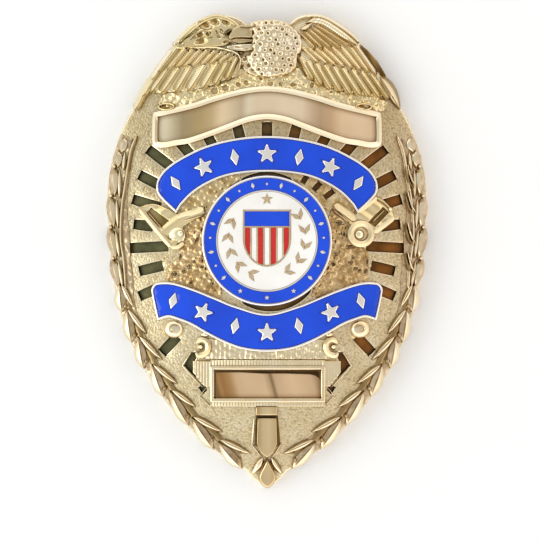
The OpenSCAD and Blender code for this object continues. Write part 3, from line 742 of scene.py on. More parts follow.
# A lighter copy of the gold for rims, edges and top leaves: painted highlight
GOLD_HIGHLIGHT = gold("gold_painted_highlight", 0.15, (0.9, 0.765, 0.53), (0.94, 0.83, 0.63), reach=0.4, painted_shade=0.5)
GOLD_FOLD = gold("gold_fold", 0.2, (0.93, 0.83, 0.56), (0.97, 0.9, 0.68), reach=0.8, painted_shade=0.6, wave=0.1)
GOLD_STIPPLE = gold("gold_stipple", 0.36, (0.74, 0.6, 0.37), (0.82, 0.71, 0.49), painted_shade=0.6, stipple=0.75,
                    top_shade=0.32)
# Tan gold, with deep brown painted shade in its crevices
GOLD_TAN = gold("gold_tan", 0.3, (0.66, 0.52, 0.29), (0.76, 0.63, 0.39),
                ((0.24, 0.14, 0.05), (0.24, 0.11, 0.03)), painted_shade=0.85, wave=0.3)
GOLD_FOLIAGE = gold("gold_foliage", 0.28, (0.42, 0.26, 0.1), (0.82, 0.61, 0.34),
                    ((0.2, 0.11, 0.035), (0.2, 0.09, 0.025)), reach=0.8, painted_shade=0.8, wave=0.2, patch=620.0)
# A darker copy of the gold for shaded leaf facets and the ground between the leaves: painted shade
GOLD_BAND_SHADE = gold("gold_shaded_band", 0.28, (0.44, 0.32, 0.19), (0.74, 0.6, 0.41), painted_shade=0.7, wave=0.3, patch=620.0)
# Dark gold for underlays, veins, seams and knobs: painted shade
GOLD_SHADE = gold("gold_painted_shade", 0.3, (0.32, 0.22, 0.1), (0.4, 0.29, 0.14), painted_shade=0.6, wave=0.3)
# Near-black gold for the knobs in hollows: painted shade
HOLLOW_SHADE = gold("pit", 0.35, (0.13, 0.08, 0.035), (0.22, 0.14, 0.06), painted_shade=0.5)
GOLD_SEAL = gold("gold_seal", 0.25, (0.72, 0.53, 0.32), (0.84, 0.66, 0.43), reach=0.4, painted_shade=0.4)
GOLD_SATIN = gold("gold_satin", 0.3, (0.74, 0.62, 0.4), (0.82, 0.72, 0.51), reach=0.5, painted_shade=0.5, wave=0.2)
GOLD_BACK = gold("gold_back", 0.38, reach=1.5, painted_shade=0.5, wave=0.3)
SLOT_FLOOR = slot_floor("slot_floor")
# Painted reflections on the name panel's floor, from left to right
PANEL_REFLECTION_BANDS = [
    (0.0, (0.98, 0.86, 0.64)), (0.05, (0.88, 0.77, 0.56)), (0.09, (0.62, 0.52, 0.34)),
    (0.125, (0.46, 0.35, 0.2)), (0.21, (0.54, 0.4, 0.19)), (0.26, (0.66, 0.49, 0.27)),
    (0.305, (0.92, 0.71, 0.46)), (0.35, (0.82, 0.66, 0.44)), (0.39, (0.7, 0.55, 0.37)),
    (0.42, (1.0, 0.88, 0.66)), (0.46, (0.97, 0.8, 0.57)), (0.66, (0.98, 0.82, 0.6)),
    (0.71, (0.74, 0.55, 0.36)), (0.745, (0.58, 0.42, 0.26)), (0.79, (0.7, 0.48, 0.29)),
    (0.835, (0.96, 0.71, 0.47)), (0.92, (1.0, 0.77, 0.53)), (0.98, (0.95, 0.7, 0.47))]
PANEL_REFLECTION = panel_floor("panel_painted_reflection", 18.0, PANEL_REFLECTION_BANDS, metal=0.7)
# Painted reflections on the number panel's floor
NUMBER_REFLECTION_BANDS = [
    (0.02, (0.3, 0.16, 0.06)), (0.05, (0.5, 0.28, 0.12)), (0.09, (0.42, 0.22, 0.08)),
    (0.16, (0.54, 0.32, 0.14)), (0.22, (0.78, 0.54, 0.32)), (0.3, (0.82, 0.59, 0.36)),
    (0.48, (0.83, 0.6, 0.37)), (0.525, (0.62, 0.43, 0.25)), (0.555, (0.3, 0.19, 0.1)),
    (0.585, (0.7, 0.49, 0.3)), (0.74, (0.84, 0.61, 0.38)), (0.93, (0.74, 0.52, 0.32)),
    (0.99, (0.48, 0.32, 0.17))]
NUMBER_REFLECTION = panel_floor("number_painted_reflection", 8.6, NUMBER_REFLECTION_BANDS, 0.16, 0.28, -21.4)
# Near-black gold for the painted shadow along the top and left of the number panel's recess
LIP_SHADOW = gold("painted_lip_shadow", 0.3, (0.04, 0.02, 0.008), (0.09, 0.05, 0.02))
# Painted reflections, mostly dark, for the fold recesses and the wing's side: painted shade as well
BROWN_REFLECTION_BANDS = [
    (0.06, (0.62, 0.53, 0.3)), (0.08, (0.5, 0.4, 0.18)), (0.105, (0.26, 0.19, 0.06)),
    (0.14, (0.12, 0.08, 0.03)), (0.5, (0.4, 0.28, 0.13)), (0.82, (0.3, 0.19, 0.07)),
    (0.88, (0.18, 0.1, 0.03)), (0.905, (0.42, 0.27, 0.1)), (0.93, (0.14, 0.08, 0.02))]
BROWN_REFLECTION = panel_floor("brown_painted_reflection", 21.0, BROWN_REFLECTION_BANDS, 0.2)
# Painted reflections on the spike's post
SPIKE_REFLECTION_BANDS = [
    (0.03, (0.48, 0.34, 0.17)), (0.3, (0.7, 0.54, 0.31)), (0.6, (0.76, 0.59, 0.34)),
    (0.95, (0.62, 0.47, 0.26))]
SPIKE_REFLECTION = panel_floor("spike_painted_reflection", 1.6, SPIKE_REFLECTION_BANDS)
# Near-white metal for enamel rims and raised marks: painted highlight on gold
HIGHLIGHT_METAL = gold("painted_highlight_metal", 0.16, (0.98, 0.95, 0.91), (1.0, 0.98, 0.96), reach=0.4, painted_shade=0.35)
BLUE = enamel("blue_enamel", (0.003, 0.074, 0.8), (0.002, 0.02, 0.34))
WHITE = enamel("white_enamel", (0.97, 0.97, 0.955), (0.6, 0.585, 0.55))
RED = enamel("red_enamel", (0.66, 0.02, 0.022), (0.24, 0.004, 0.006))


# Plate with its sunburst and its back

# x, y as shares, bulge of the stretch that follows as a share of the half width, steps
OUTLINE_TABLE = [
    (0.02, -0.995, 0.01, 2), (0.13, -0.93, 0.235, 40), (1.0, 0.063, 0.075, 18), (0.85, 0.6, 0.02, 8),
    (0.59, 0.872, 0.045, 12), (0.29, 0.99, 0.02, 4), (0.125, 0.945, 0.004, 2), (0.0, 0.955, 0, 0)]


def plate_outline():
    """The shield's outline, from the table of its right half."""
    half = []
    for (x, y, bulge, steps), after in zip(OUTLINE_TABLE, OUTLINE_TABLE[1:]):
        end = (after[0] * PLATE_W, after[1] * HALF_H)
        half += arc((x * PLATE_W, y * HALF_H), end, bulge * HALF_W, steps)
    return half + [(0.0, OUTLINE_TABLE[-1][1] * HALF_H)] + mirror(half)


OUTLINE = plate_outline()

# Slots: angle, inner and outer end as shares of the half width
BURST = [
    (75.5, 0.63, 0.75), (60.5, 0.65, 0.77), (48.5, 0.67, 0.83), (37.7, 0.7, 0.94), (27.4, 0.7, 0.9),
    (17.3, 0.7, 0.88), (7.2, 0.72, 0.84), (-3, 0.62, 0.87), (-13.3, 0.67, 0.82), (-23.4, 0.74, 0.87),
    (-46.8, 0.82, 0.96)]
SLOT_W = 1.6
SLOT_DEPTH = 0.7
TOP_SLOT = (90, 0.63, 0.74)
# Short and narrow slots between the seal and the upper ribbon, at the right only
SHORT_BURST = [(37.0, 0.45, 0.52), (47.5, 0.43, 0.49), (58.5, 0.422, 0.47)]
SHORT_W = 0.85
# Sickles round the seal: start and end in degrees, thickness
SICKLES = [(-112, -48, 0.75), (68, 113, 0.42)]
SEAL_EDGE = 10.4
SICKLE_STEPS = 24


def slot_loop(angle, start, end, grow=0.0, wide=SLOT_W):
    """A straight slot that points away from the seal's middle."""
    t = math.radians(angle)
    u = (math.cos(t), math.sin(t))
    n = (u[1] * (wide / 2 + grow), -u[0] * (wide / 2 + grow))
    a, b = start * HALF_W - grow, end * HALF_W + grow
    corners = ((a, -1), (a, 1), (b, 1), (b, -1))
    return [(u[0] * run + way * n[0], SEAL_Y + u[1] * run + way * n[1]) for run, way in corners]


# Angled slots of the left side beside the number panel
CHEVRONS = [
    [(-12.0, -16.32), (-10.96, -16.4), (-11.92, -18.56), (-11.2, -19.84), (-11.44, -20.4), (-13.28, -18.48)],
    [(-9.92, -21.12), (-9.6, -22.4), (-10.24, -23.04), (-10.96, -22.0)]]


def sickle(start, end, thick):
    """A thin curved slot along the seal's edge."""
    c = (0.0, SEAL_Y)
    outer = []
    inner = []
    for i in range(SICKLE_STEPS + 1):
        t = math.radians(start + (end - start) * i / SICKLE_STEPS)
        outer.append(on_circle(c, SEAL_EDGE + 0.1 + thick * math.sin(math.pi * i / SICKLE_STEPS) ** 0.8, t))
        inner.append(on_circle(c, SEAL_EDGE - 0.2, t))
    return outer + inner[::-1]


def all_slots(grow=0.0):
    """Every slot of the plate, each side moved outward by grow."""
    rows = [TOP_SLOT] + BURST + [(180 - angle, start, end) for angle, start, end in BURST]
    straight = [slot_loop(*row, grow) for row in rows]
    straight += [slot_loop(*row, grow, SHORT_W) for row in SHORT_BURST]
    curved = [sickle(*row) for row in SICKLES]
    for loop in CHEVRONS:
        curved += [loop, mirror(loop)]
    return straight + ([offset(loop, grow) for loop in curved] if grow else curved)


# Shares of the outline that the rows of the back follow. The first two are the flat rim
BACK_SHARES = [1, 0.9375, 0.9375, 0.87, 0.8, 0.7, 0.6, 0.5, 0.4, 0.3, 0.2, 0.1, 0.01]
RIM_ROWS = 2


def plate():
    stipple, floor, back_side, painted_highlight = range(4)
    mesh = Mesh()

    def foot(i, x, y):
        return np.zeros(len(x)) if i == 0 else face(x, y) - SLOT_DEPTH

    # The outer wall and the rounded edges of the outline and the slots are in painted highlight; the slots'
    # walls in the slot floor's painted reflection
    mesh.relief([OUTLINE] + all_slots(), 0.0, 0.9, 0.2, foot, (0.3, 1.0), stipple, (painted_highlight, floor), painted_highlight)
    for loop in all_slots(0.01):
        mesh.relief([loop], -SLOT_DEPTH, 0.7, 0, foot=-SLOT_DEPTH, mark=floor)
    rows = []
    for k, share in enumerate(BACK_SHARES):
        row = []
        for p in OUTLINE:
            x, y = p[0] * share, DOME_Y + (p[1] - DOME_Y) * share
            row.append((x, y, 0.0 if k < RIM_ROWS else max(0.0, float(face(x, y)) - WALL)))
        rows.append(row)
    mesh.grid(rows, back_side, closed=True)
    build("shield_plate", mesh, [GOLD_STIPPLE, SLOT_FLOOR, GOLD_BACK, GOLD_HIGHLIGHT], ["shield"])


plate()


# Back: pad and posts

BAR_Y = 0.08 * HALF_H
BAR_L = 30.0
BAR_W = 6.0
BAR_THICK = 0.8
PAD_MARGIN = 0.5
PAD_ROUND = 0.2
PAD_HIGH = 1.6
PLAY = 0.1
POST_PLACE = 0.27
POST_SIDES = 32
POST_R = 0.8
# Head of a post: radius, height over the bar's free side
POST_HEAD = [(0.8, -0.1), (1.28, -0.1), (1.2, -0.3), (0.9, -0.5), (0.02, -0.5)]


def lathe(c, profile, n):
    """Rows of points of a form turned about an upright axis at c, from radii and heights."""
    return [[(*on_circle(c, r, 2 * math.pi * j / n), z) for j in range(n)] for r, z in profile]


def back():
    mesh = Mesh()
    low = min(float(face(BAR_W / 2, BAR_Y + way * BAR_L / 2)) for way in (1, -1)) - WALL - PLAY
    w, h = BAR_W / 2 + PAD_MARGIN, BAR_L / 2 + PAD_MARGIN
    ring = rectangle((-w, BAR_Y - h), (w, BAR_Y + h))
    inner = rectangle((-w + PAD_ROUND, BAR_Y - h + PAD_ROUND), (w - PAD_ROUND, BAR_Y + h - PAD_ROUND))
    levels = ((ring, low + PAD_HIGH), (ring, low + PAD_ROUND), (inner, low))
    mesh.grid([[(x, y, z) for x, y in loop] for loop, z in levels], closed=True)
    mesh.add([(x, y, low) for x, y in inner], [(3, 2, 1, 0)])
    under = low - PLAY - BAR_THICK
    post = [(POST_R, low)] + [(r, under + rise) for r, rise in POST_HEAD]
    for way in (1, -1):
        mesh.grid(lathe((0.0, BAR_Y + way * POST_PLACE * BAR_L), post, POST_SIDES), closed=True)
    build("shield_back", mesh, [GOLD_BACK])


back()


# Laurel border of the left side: foot and tip of each leaf, from the parting down or up
LOW_OUTER = [
    ((-23.55, -5.44), (-22.66, -9.84)), ((-22.35, -9.36), (-21.15, -14.64)),
    ((-20.58, -13.84), (-19.23, -18.75)), ((-18.43, -18.24), (-16.13, -23.14)),
    ((-15.55, -22.48), (-12.19, -27.68)), ((-12.03, -26.72), (-8.26, -31.41)),
    ((-7.84, -30.64), (-4.0, -35.17))]
LOW_INNER = [
    ((-23.2, -5.44), (-21.28, -9.2)), ((-22.21, -9.38), (-19.18, -13.42)),
    ((-20.42, -13.65), (-16.67, -17.57)), ((-18.18, -18.24), (-14.24, -21.39)),
    ((-15.14, -22.29), (-11.33, -25.09)), ((-11.78, -26.54), (-7.06, -29.09)),
    ((-7.52, -30.21), (-2.56, -32.56))]
TOP_OUTER = [
    ((-23.65, -6.08), (-24.91, -1.2)), ((-24.24, -1.68), (-25.34, 3.84)), ((-24.58, 3.36), (-25.22, 8.88)),
    ((-24.45, 8.48), (-24.61, 13.6)), ((-23.97, 13.12), (-23.87, 16.0)), ((-23.42, 15.52), (-22.82, 18.0))]
TOP_MIDDLE = [
    ((-23.14, -6.08), (-23.9, -1.44)), ((-23.68, -1.28), (-24.32, 3.52)), ((-23.9, 3.52), (-24.19, 8.48)),
    ((-23.68, 8.32), (-23.65, 13.12)), ((-23.1, 12.8), (-22.78, 15.84))]
TOP_TIPS = [(-24.58, -2.08), (-24.98, 2.88), (-24.93, 7.92), (-24.38, 12.64)]
STEM = [
    (-22.62, -6.56), (-22.75, -4.0), (-23.01, -1.12), (-23.39, 1.28), (-23.42, 3.84), (-23.22, 7.04),
    (-22.82, 9.76), (-22.24, 13.6), (-21.73, 16.16), (-20.83, 18.32)]

# Short strokes of the right border: their upper ends, then a stroke of painted shade and a bright one from
# such an end
STROKES = [13.4, 9.2, 4.2, -0.6]
SHADE_STROKE = [(22.15, 0.0), (22.35, -1.2), (22.75, -2.5), (23.45, -3.5)]
BRIGHT_STROKE = [(22.55, 0.2), (22.85, -1.1), (23.25, -2.3), (23.85, -3.2)]
# Ends of the low ground, and where the last leaves' tips begin to stay inside the edge
BED_LOW = -33.5
BED_TOP = 19.0
LAST_LEAF_Y = -34


def border_bed():
    """Low ground of the laurel along the left edge, wider above the parting."""
    outer = []
    inner = []
    for p, n in zip(OUTLINE, inward(OUTLINE)):
        if p[0] < 0 and BED_LOW < p[1] < BED_TOP:
            wide = 2.5 + 0.7 * min(1, max(0, (p[1] + 9) / 4)) - 1.2 * max(0, (p[1] - 13) / 6)
            outer.append((p[0] + 0.12 * n[0], p[1] + 0.12 * n[1]))
            inner.append((p[0] + wide * n[0], p[1] + wide * n[1]))
    return outer + inner[::-1]


def outward(p, run):
    """The point moved by run toward the edge of the badge."""
    n = (p[0] / HALF_W ** 2, (p[1] - DOME_Y) / HALF_H ** 2)
    long = math.hypot(*n)
    return (p[0] + n[0] / long * run, p[1] + n[1] / long * run)


def low_laurel(mesh, way):
    """The leaves below the parting: an outer and an inner row."""
    gold_mark, band_shade, painted_shade, painted_highlight = range(4)
    inner_outer = (0.85, 1.05) if way > 0 else (1.05, 0.85)
    facet_shades = (band_shade, gold_mark) if way > 0 else (gold_mark, band_shade)
    rows = zip(LOW_INNER, LOW_OUTER)
    between = [mix(mix(*outer, t), mix(*inner, t), 0.55) for inner, outer in rows for t in (0.2, 0.7)]
    # A dark cord between the rows: painted shade
    mesh.cord(sided(smooth(between, 4), way), 0.55, 0.42, -0.2, mark=painted_shade)
    # Outer leaves: one facet in painted shade, a dark vein of painted shade, and a berry on a dark knob of
    # painted shade
    for a, b in LOW_OUTER:
        a, b = outward(a, 0.1), outward(b, 0.6 if b[1] > LAST_LEAF_Y else -0.1)
        mesh.blade(*sided((a, b), way), *inner_outer, 1.0, 0.15 * way, (0.5, 0.5), facet_shades)
        mesh.cord(sided([mix(a, b, t) for t in (0.2, 0.5, 0.85)], way), 0.12, 1.06, 0.3, 0.3, mark=painted_shade)
        [berry] = sided([outward(mix(a, b, 0.8), -0.55)], way)
        mesh.knob(berry, 0.56, 0.75, -0.1, 12, mark=painted_shade)
        mesh.knob(berry, 0.34, 0.95, 0.1, 12, mark=band_shade)
    # Inner leaves: a wider dark leaf of painted shade under a leaf in painted highlight, with a dark vein of
    # painted shade
    for a, b in LOW_INNER:
        a, b = outward(a, 0.15), outward(b, 0.1)
        mesh.leaf(*sided((a, b), way), 1.45, 0.55, 0.02 * way, "round", painted_shade)
        mesh.leaf(*sided([mix(a, b, t) for t in (0.02, 0.97)], way), 0.98, 1.0, 0.02 * way, "round", painted_highlight)
        mesh.cord(sided([mix(a, b, t) for t in (0.12, 0.45, 0.82)], way), 0.15, 1.04, 0.3, 0.3, mark=painted_shade)


def top_laurel(mesh, way):
    """The leaves above the parting, with berries at the tips of the middle row, strokes and the stem."""
    gold_mark, band_shade, painted_shade, painted_highlight = range(4)
    widths = (0.8, 0.74) if way > 0 else (0.74, 0.8)
    facet_shades = (band_shade, gold_mark) if way > 0 else (gold_mark, band_shade)
    # Outer leaves with one facet in painted shade
    for a, b in TOP_OUTER:
        mesh.blade(*sided((a, b), way), *widths, 0.9, -0.1 * way, (0.4, 0.5), facet_shades)
    # Middle leaves on wider dark leaves of painted shade
    for line in TOP_MIDDLE:
        mesh.leaf(*sided(line, way), 1.1, 0.5, style="round", mark=painted_shade)
        mesh.leaf(*sided(line, way), 0.66, 0.85, style="round")
    # Berries on dark knobs of painted shade
    for x, y in TOP_TIPS:
        mesh.knob((way * x, y), 0.5, 0.8, 0.0, 12, mark=painted_shade)
        mesh.knob((way * (x - 0.1), y + 0.75), 0.36, 1.0, 0.0, 12)
    for y in STROKES if way > 0 else ():
        mesh.cord([(x, y + rise) for x, rise in SHADE_STROKE], 0.3, 0.85, -0.2, 0.3, mark=painted_shade)
        mesh.cord([(x, y + rise) for x, rise in BRIGHT_STROKE], 0.24, 1.0, -0.2, 0.3)
    # The stem: an underlay of painted shade and a cord on it, in painted highlight at the left
    line = smooth(STEM)
    mesh.cord(sided(line, way), 0.36, 0.42, -0.2, 0.06, mark=painted_shade if way > 0 else band_shade)
    line = [(x - 0.05, y) for x, y in line]
    mesh.cord(sided(line, way), 0.24, 0.75, -0.2, 0.06, mark=gold_mark if way > 0 else painted_highlight)


def laurel():
    mesh = Mesh()
    bed = border_bed()
    for way in (1, -1):
        loop = bed if way > 0 else mirror(bed)
        # The low ground between the leaves, in the darker copy of the gold: painted shade
        mesh.relief([loop], lambda x, y: 0.18 + pebbles(x, y, 0.8, 0.1), 0.3, 0.15, -0.5, mark=1)
        low_laurel(mesh, way)
        top_laurel(mesh, way)
    build("laurel", mesh, [GOLD_RELIEF, GOLD_BAND_SHADE, GOLD_SHADE, GOLD_HIGHLIGHT])


laurel()


# Ribbons and their enamel

UPPER_HALF = [
    (0.0, 17.84), (4.8, 17.46), (9.6, 16.29), (13.6, 14.4), (16.0, 12.72), (17.12, 11.2), (17.36, 9.92),
    (16.96, 8.8), (14.56, 6.4), (13.84, 7.52), (11.68, 9.6), (8.48, 11.41), (5.12, 12.38), (0.0, 12.77)]
LOWER_HALF = [
    (0.0, -10.5), (5.12, -9.25), (8.48, -7.9), (11.84, -6.56), (15.2, -5.55), (17.44, -5.55), (17.95, -5.9),
    (18.15, -6.55), (17.3, -10.8), (15.7, -10.4), (14.1, -10.83), (12.0, -11.65), (9.9, -12.86), (6.9, -14.4),
    (3.84, -15.5), (0.0, -15.9)]
RIBBON_RISE = 1.1
# Place of the sharp corner in each half
RIBBON_CORNER = 8
RIM_W = 0.34
GLAZE_LOW = 0.16
GLAZE_GAP = 0.04
CELL_DEEP = 0.5


def ribbon_loop(half):
    """A ribbon's outline, with a sharp corner at its left and at its right end."""
    loop = mirrored_loop(half)
    return spline(loop, {RIBBON_CORNER, len(loop) - RIBBON_CORNER}, 7)


def star_loop(c, r, turn=0.0):
    """A star of five points."""
    points = []
    for i in range(10):
        q = r if i % 2 == 0 else STAR_INNER * r
        points.append((q * math.sin(math.radians(36 * i)), q * math.cos(math.radians(36 * i))))
    return turned(points, c, turn)


def lozenge_loop(c, r, turn=0.0):
    return turned([(0, r), (0.5 * r, 0), (0, -r), (-0.5 * r, 0)], c, turn)


UPPER_MARKS = [(0, 0.402, 0), (0.201, 0.388, -12), (0.394, 0.347, -23), (0.57, 0.28, -35)]
LOWER_MARKS = [(0, -0.346, 0), (0.199, -0.318, 14), (0.398, -0.261, 22), (0.586, -0.213, 16)]
STAR_R = 1.8
STAR_INNER = 0.42


def marks(table, grow=0.0):
    """Stars and lozenges in turn from the middle of a ribbon to both ends."""
    out = []
    for i, (x, y, turn) in enumerate(table):
        for way in (1, -1) if i else (1,):
            shape, r = (lozenge_loop, 0.8 * STAR_R) if i % 2 else (star_loop, STAR_R)
            out.append(shape((way * x * HALF_W, y * HALF_H), r + grow, way * turn))
    return out


def ribbon(name, half, table, node):
    loop = ribbon_loop(half)
    mesh = Mesh()
    # The rim and the marks are in near-white metal: painted highlight
    mesh.relief([offset(loop, RIM_W), loop], RIBBON_RISE, 0.45, 0.15, -0.4)
    for mark in marks(table):
        mesh.relief([mark], RIBBON_RISE, 0.35, 0.16, 0.2)
    build(name + "_rim", mesh, [HIGHLIGHT_METAL])
    mesh = Mesh()
    glaze = [offset(loop, -GLAZE_GAP)] + marks(table, GLAZE_GAP)
    mesh.relief(glaze, RIBBON_RISE - GLAZE_LOW, 0.7, 0.06, RIBBON_RISE - CELL_DEEP, (1.0,))
    build(name + "_glaze", mesh, [BLUE], [node])
    mesh = Mesh()
    mesh.relief([offset(loop, GLAZE_GAP / 2)], RIBBON_RISE - CELL_DEEP, 1.2, 0, -0.4)
    build(name + "_cell", mesh, [GOLD_SATIN])


ribbon("upper_ribbon", UPPER_HALF, UPPER_MARKS, "upper_ribbon_enamel")
ribbon("lower_ribbon", LOWER_HALF, LOWER_MARKS, "lower_ribbon_enamel")


# Wings

HUMP_EDGE = [
    (-15.23, 32.96), (-13.46, 34.72), (-11.87, 36.11), (-10.14, 37.22), (-8.32, 37.82), (-6.85, 37.58),
    (-5.44, 36.88), (-4.51, 36.13)]
HUMP_INNER = [
    (-4.32, 35.36), (-5.36, 33.92), (-6.56, 32.72), (-8.8, 32.4), (-10.72, 32.4), (-12.8, 32.32),
    (-14.4, 32.16)]
# Pits of the left wing's hump: place, radii, turn, depth
HUMP_PITS = [
    ((-9.97, 36.06), 1.05, 0.56, -18, 0.8), ((-8.36, 36.55), 0.6, 0.4, -15, 0.75),
    ((-6.6, 36.45), 0.5, 0.32, -25, 0.75), ((-10.72, 34.53), 0.46, 0.26, 15, 0.5),
    ((-9.41, 34.62), 0.34, 0.24, 10, 0.5), ((-10.66, 33.44), 0.85, 0.34, 8, 0.5),
    ((-7.9, 34.53), 0.62, 0.15, -58, 0.5), ((-7.3, 34.98), 0.46, 0.15, -62, 0.5),
    ((-12.13, 34.66), 1.5, 0.17, 33, 0.5), ((-6.24, 33.36), 0.8, 0.16, 8, 0.4)]
HUMP_LINES = [
    [(-10.16, 35.28), (-9.44, 34.96), (-8.88, 34.08)], [(-8.99, 35.71), (-8.45, 35.12), (-7.87, 34.0)],
    [(-11.84, 33.98), (-10.4, 34.11), (-8.72, 34.05)], [(-12.32, 33.68), (-11.36, 34.64), (-10.24, 35.2)]]

# Feathers of the left wing: root, tip, width
LEFT_WING = [
    ((-10.11, 29.66), (-12.8, 25.36), 1.75), ((-7.95, 30.14), (-10.56, 25.68), 1.7),
    ((-6.24, 30.24), (-8.56, 26.24), 1.45), ((-4.88, 30.88), (-6.56, 27.12), 1.4),
    ((-12.32, 29.44), (-14.8, 25.2), 1.6), ((-14.24, 29.2), (-17.04, 25.04), 1.6),
    ((-15.76, 29.44), (-18.64, 25.2), 1.5), ((-17.2, 29.1), (-20.05, 24.55), 1.4),
    ((-18.6, 27.3), (-21.25, 22.45), 1.3), ((-9.68, 32.08), (-12.16, 29.28), 1.15),
    ((-8.4, 32.0), (-10.64, 29.52), 1.1), ((-7.2, 31.84), (-9.28, 29.68), 1.05),
    ((-6.0, 31.52), (-7.92, 29.84), 1.0), ((-4.96, 31.2), (-6.48, 30.0), 0.9),
    ((-10.8, 32.16), (-13.44, 29.2), 1.15), ((-11.92, 32.24), (-14.64, 29.12), 1.15),
    ((-13.2, 32.32), (-16.08, 28.88), 1.25), ((-14.48, 32.48), (-17.52, 28.56), 1.3),
    ((-15.3, 31.9), (-18.5, 27.3), 1.1)]
# Feathers of the right wing
RIGHT_WING = [
    ((5.36, 30.88), (7.36, 27.2), 1.35), ((6.56, 30.24), (8.72, 26.32), 1.4),
    ((7.92, 29.84), (10.24, 25.68), 1.4), ((9.28, 29.6), (11.76, 25.28), 1.4),
    ((10.72, 29.36), (13.36, 24.88), 1.4), ((12.16, 29.12), (14.96, 24.64), 1.4),
    ((13.68, 28.88), (16.56, 24.48), 1.35), ((15.2, 28.56), (18.08, 24.32), 1.3),
    ((16.72, 28.16), (19.44, 24.16), 1.2), ((5.6, 32.48), (8.24, 29.92), 1.05),
    ((6.72, 32.32), (9.68, 29.76), 1.1), ((7.92, 32.32), (11.04, 29.52), 1.1),
    ((9.2, 32.4), (12.4, 29.28), 1.1), ((10.48, 32.56), (13.76, 29.04), 1.1),
    ((11.84, 32.64), (15.12, 28.72), 1.1), ((13.12, 32.8), (16.4, 28.4), 1.1),
    ((14.24, 32.88), (17.6, 28.0), 1.1), ((5.52, 34.56), (7.76, 32.24), 0.85),
    ((6.0, 35.04), (9.04, 32.16), 0.85), ((6.64, 35.44), (10.48, 32.16), 0.85),
    ((7.28, 35.76), (12.0, 32.24), 0.85), ((8.0, 36.0), (13.52, 32.56), 0.85)]
RIGHT_SHOULDER = [
    (3.52, 35.84), (4.64, 36.86), (6.1, 37.41), (7.78, 37.54), (9.31, 37.22), (11.39, 36.06), (13.63, 34.43),
    (14.82, 33.22)]
RIGHT_BAND = [(6.24, 36.4), (7.78, 36.83), (9.12, 36.56), (10.72, 35.6), (12.48, 34.35), (14.48, 32.96)]


def dips(x, y, table):
    """Sum of smooth oval dips: place, radii, turn in degrees, depth."""
    h = np.zeros(len(x))
    for c, rx, ry, turn, depth in table:
        t = math.radians(turn)
        u = (x - c[0]) * math.cos(t) + (y - c[1]) * math.sin(t)
        v = -(x - c[0]) * math.sin(t) + (y - c[1]) * math.cos(t)
        h -= depth * np.exp(-((u / rx) ** 2 + (v / ry) ** 2) ** 2 * 0.7)
    return h


LEFT_BED = [
    (-4.48, 35.84), (-5.28, 36.8), (-6.88, 37.5), (-8.32, 37.73), (-10.08, 37.12), (-11.84, 36.0),
    (-13.44, 34.59), (-15.12, 32.88), (-17.52, 28.56), (-18.56, 25.28), (-16.96, 25.12), (-14.72, 25.28),
    (-12.32, 25.44), (-10.24, 25.92), (-8.32, 26.4), (-6.24, 27.36), (-4.64, 27.68), (-4.16, 30.4),
    (-4.64, 32.32)]
RIGHT_BED = [
    (3.44, 35.68), (4.64, 36.9), (6.08, 37.44), (7.84, 37.6), (9.44, 37.25), (11.52, 36.06), (13.68, 34.46),
    (14.96, 33.18), (16.8, 31.04), (18.08, 29.28), (19.04, 27.36), (19.36, 24.48), (16.48, 24.64),
    (13.28, 25.12), (10.08, 25.92), (7.36, 27.36), (5.28, 30.4), (5.28, 33.6)]
WING_SIDE = [
    (15.04, 32.96), (16.16, 32.0), (17.68, 30.32), (19.12, 27.92), (18.4, 27.68), (16.8, 30.08),
    (15.04, 32.16)]
HUMP_KNOBS = [(-14.8, 33.04), (-14.16, 33.44), (-13.52, 33.12)]
HUMP_RIM = [
    (-14.16, 32.96), (-12.56, 34.67), (-11.12, 35.92), (-9.68, 36.8), (-8.29, 37.18), (-6.91, 36.99),
    (-5.68, 36.38), (-4.88, 35.68)]
LEFT_BAND = [
    (-12.96, 32.48), (-10.88, 32.4), (-8.7, 32.45), (-7.04, 32.21), (-5.12, 31.6), (-4.27, 30.67),
    (-4.43, 29.12), (-4.91, 27.36)]
RIGHT_FILL = [(7.8, 37.12), (9.2, 36.86), (11.05, 35.85), (13.0, 34.4), (14.7, 33.1)]

# Leaves of the shoulders and of the right wing's tip: foot, tip, width, height, bend, section, if in painted
# shade
WING_LEAVES = [
    ((5.28, 35.28), (7.44, 36.48), 0.9, 2.0, 0.05, "round", False),
    ((-7.04, 34.0), (-5.44, 35.6), 1.15, 1.45, 0.05, "laurel", False),
    ((18.1, 28.1), (21.36, 22.56), 1.9, 0.75, -0.03, "round", True),
    ((18.16, 27.84), (21.28, 22.72), 1.2, 1.35, -0.03, "ridge", False)]
# Pits that hold a knob of painted shade, and the points of the hump's outline that carry its outer rim
KNOB_PITS = 6
HUMP_RIM_END = 43
# Narrower feathers are paler, and the outermost ones at the left are low
LEFT_NARROW = 1.27
RIGHT_NARROW = 1.18
LOW_FEATHER_X = -19


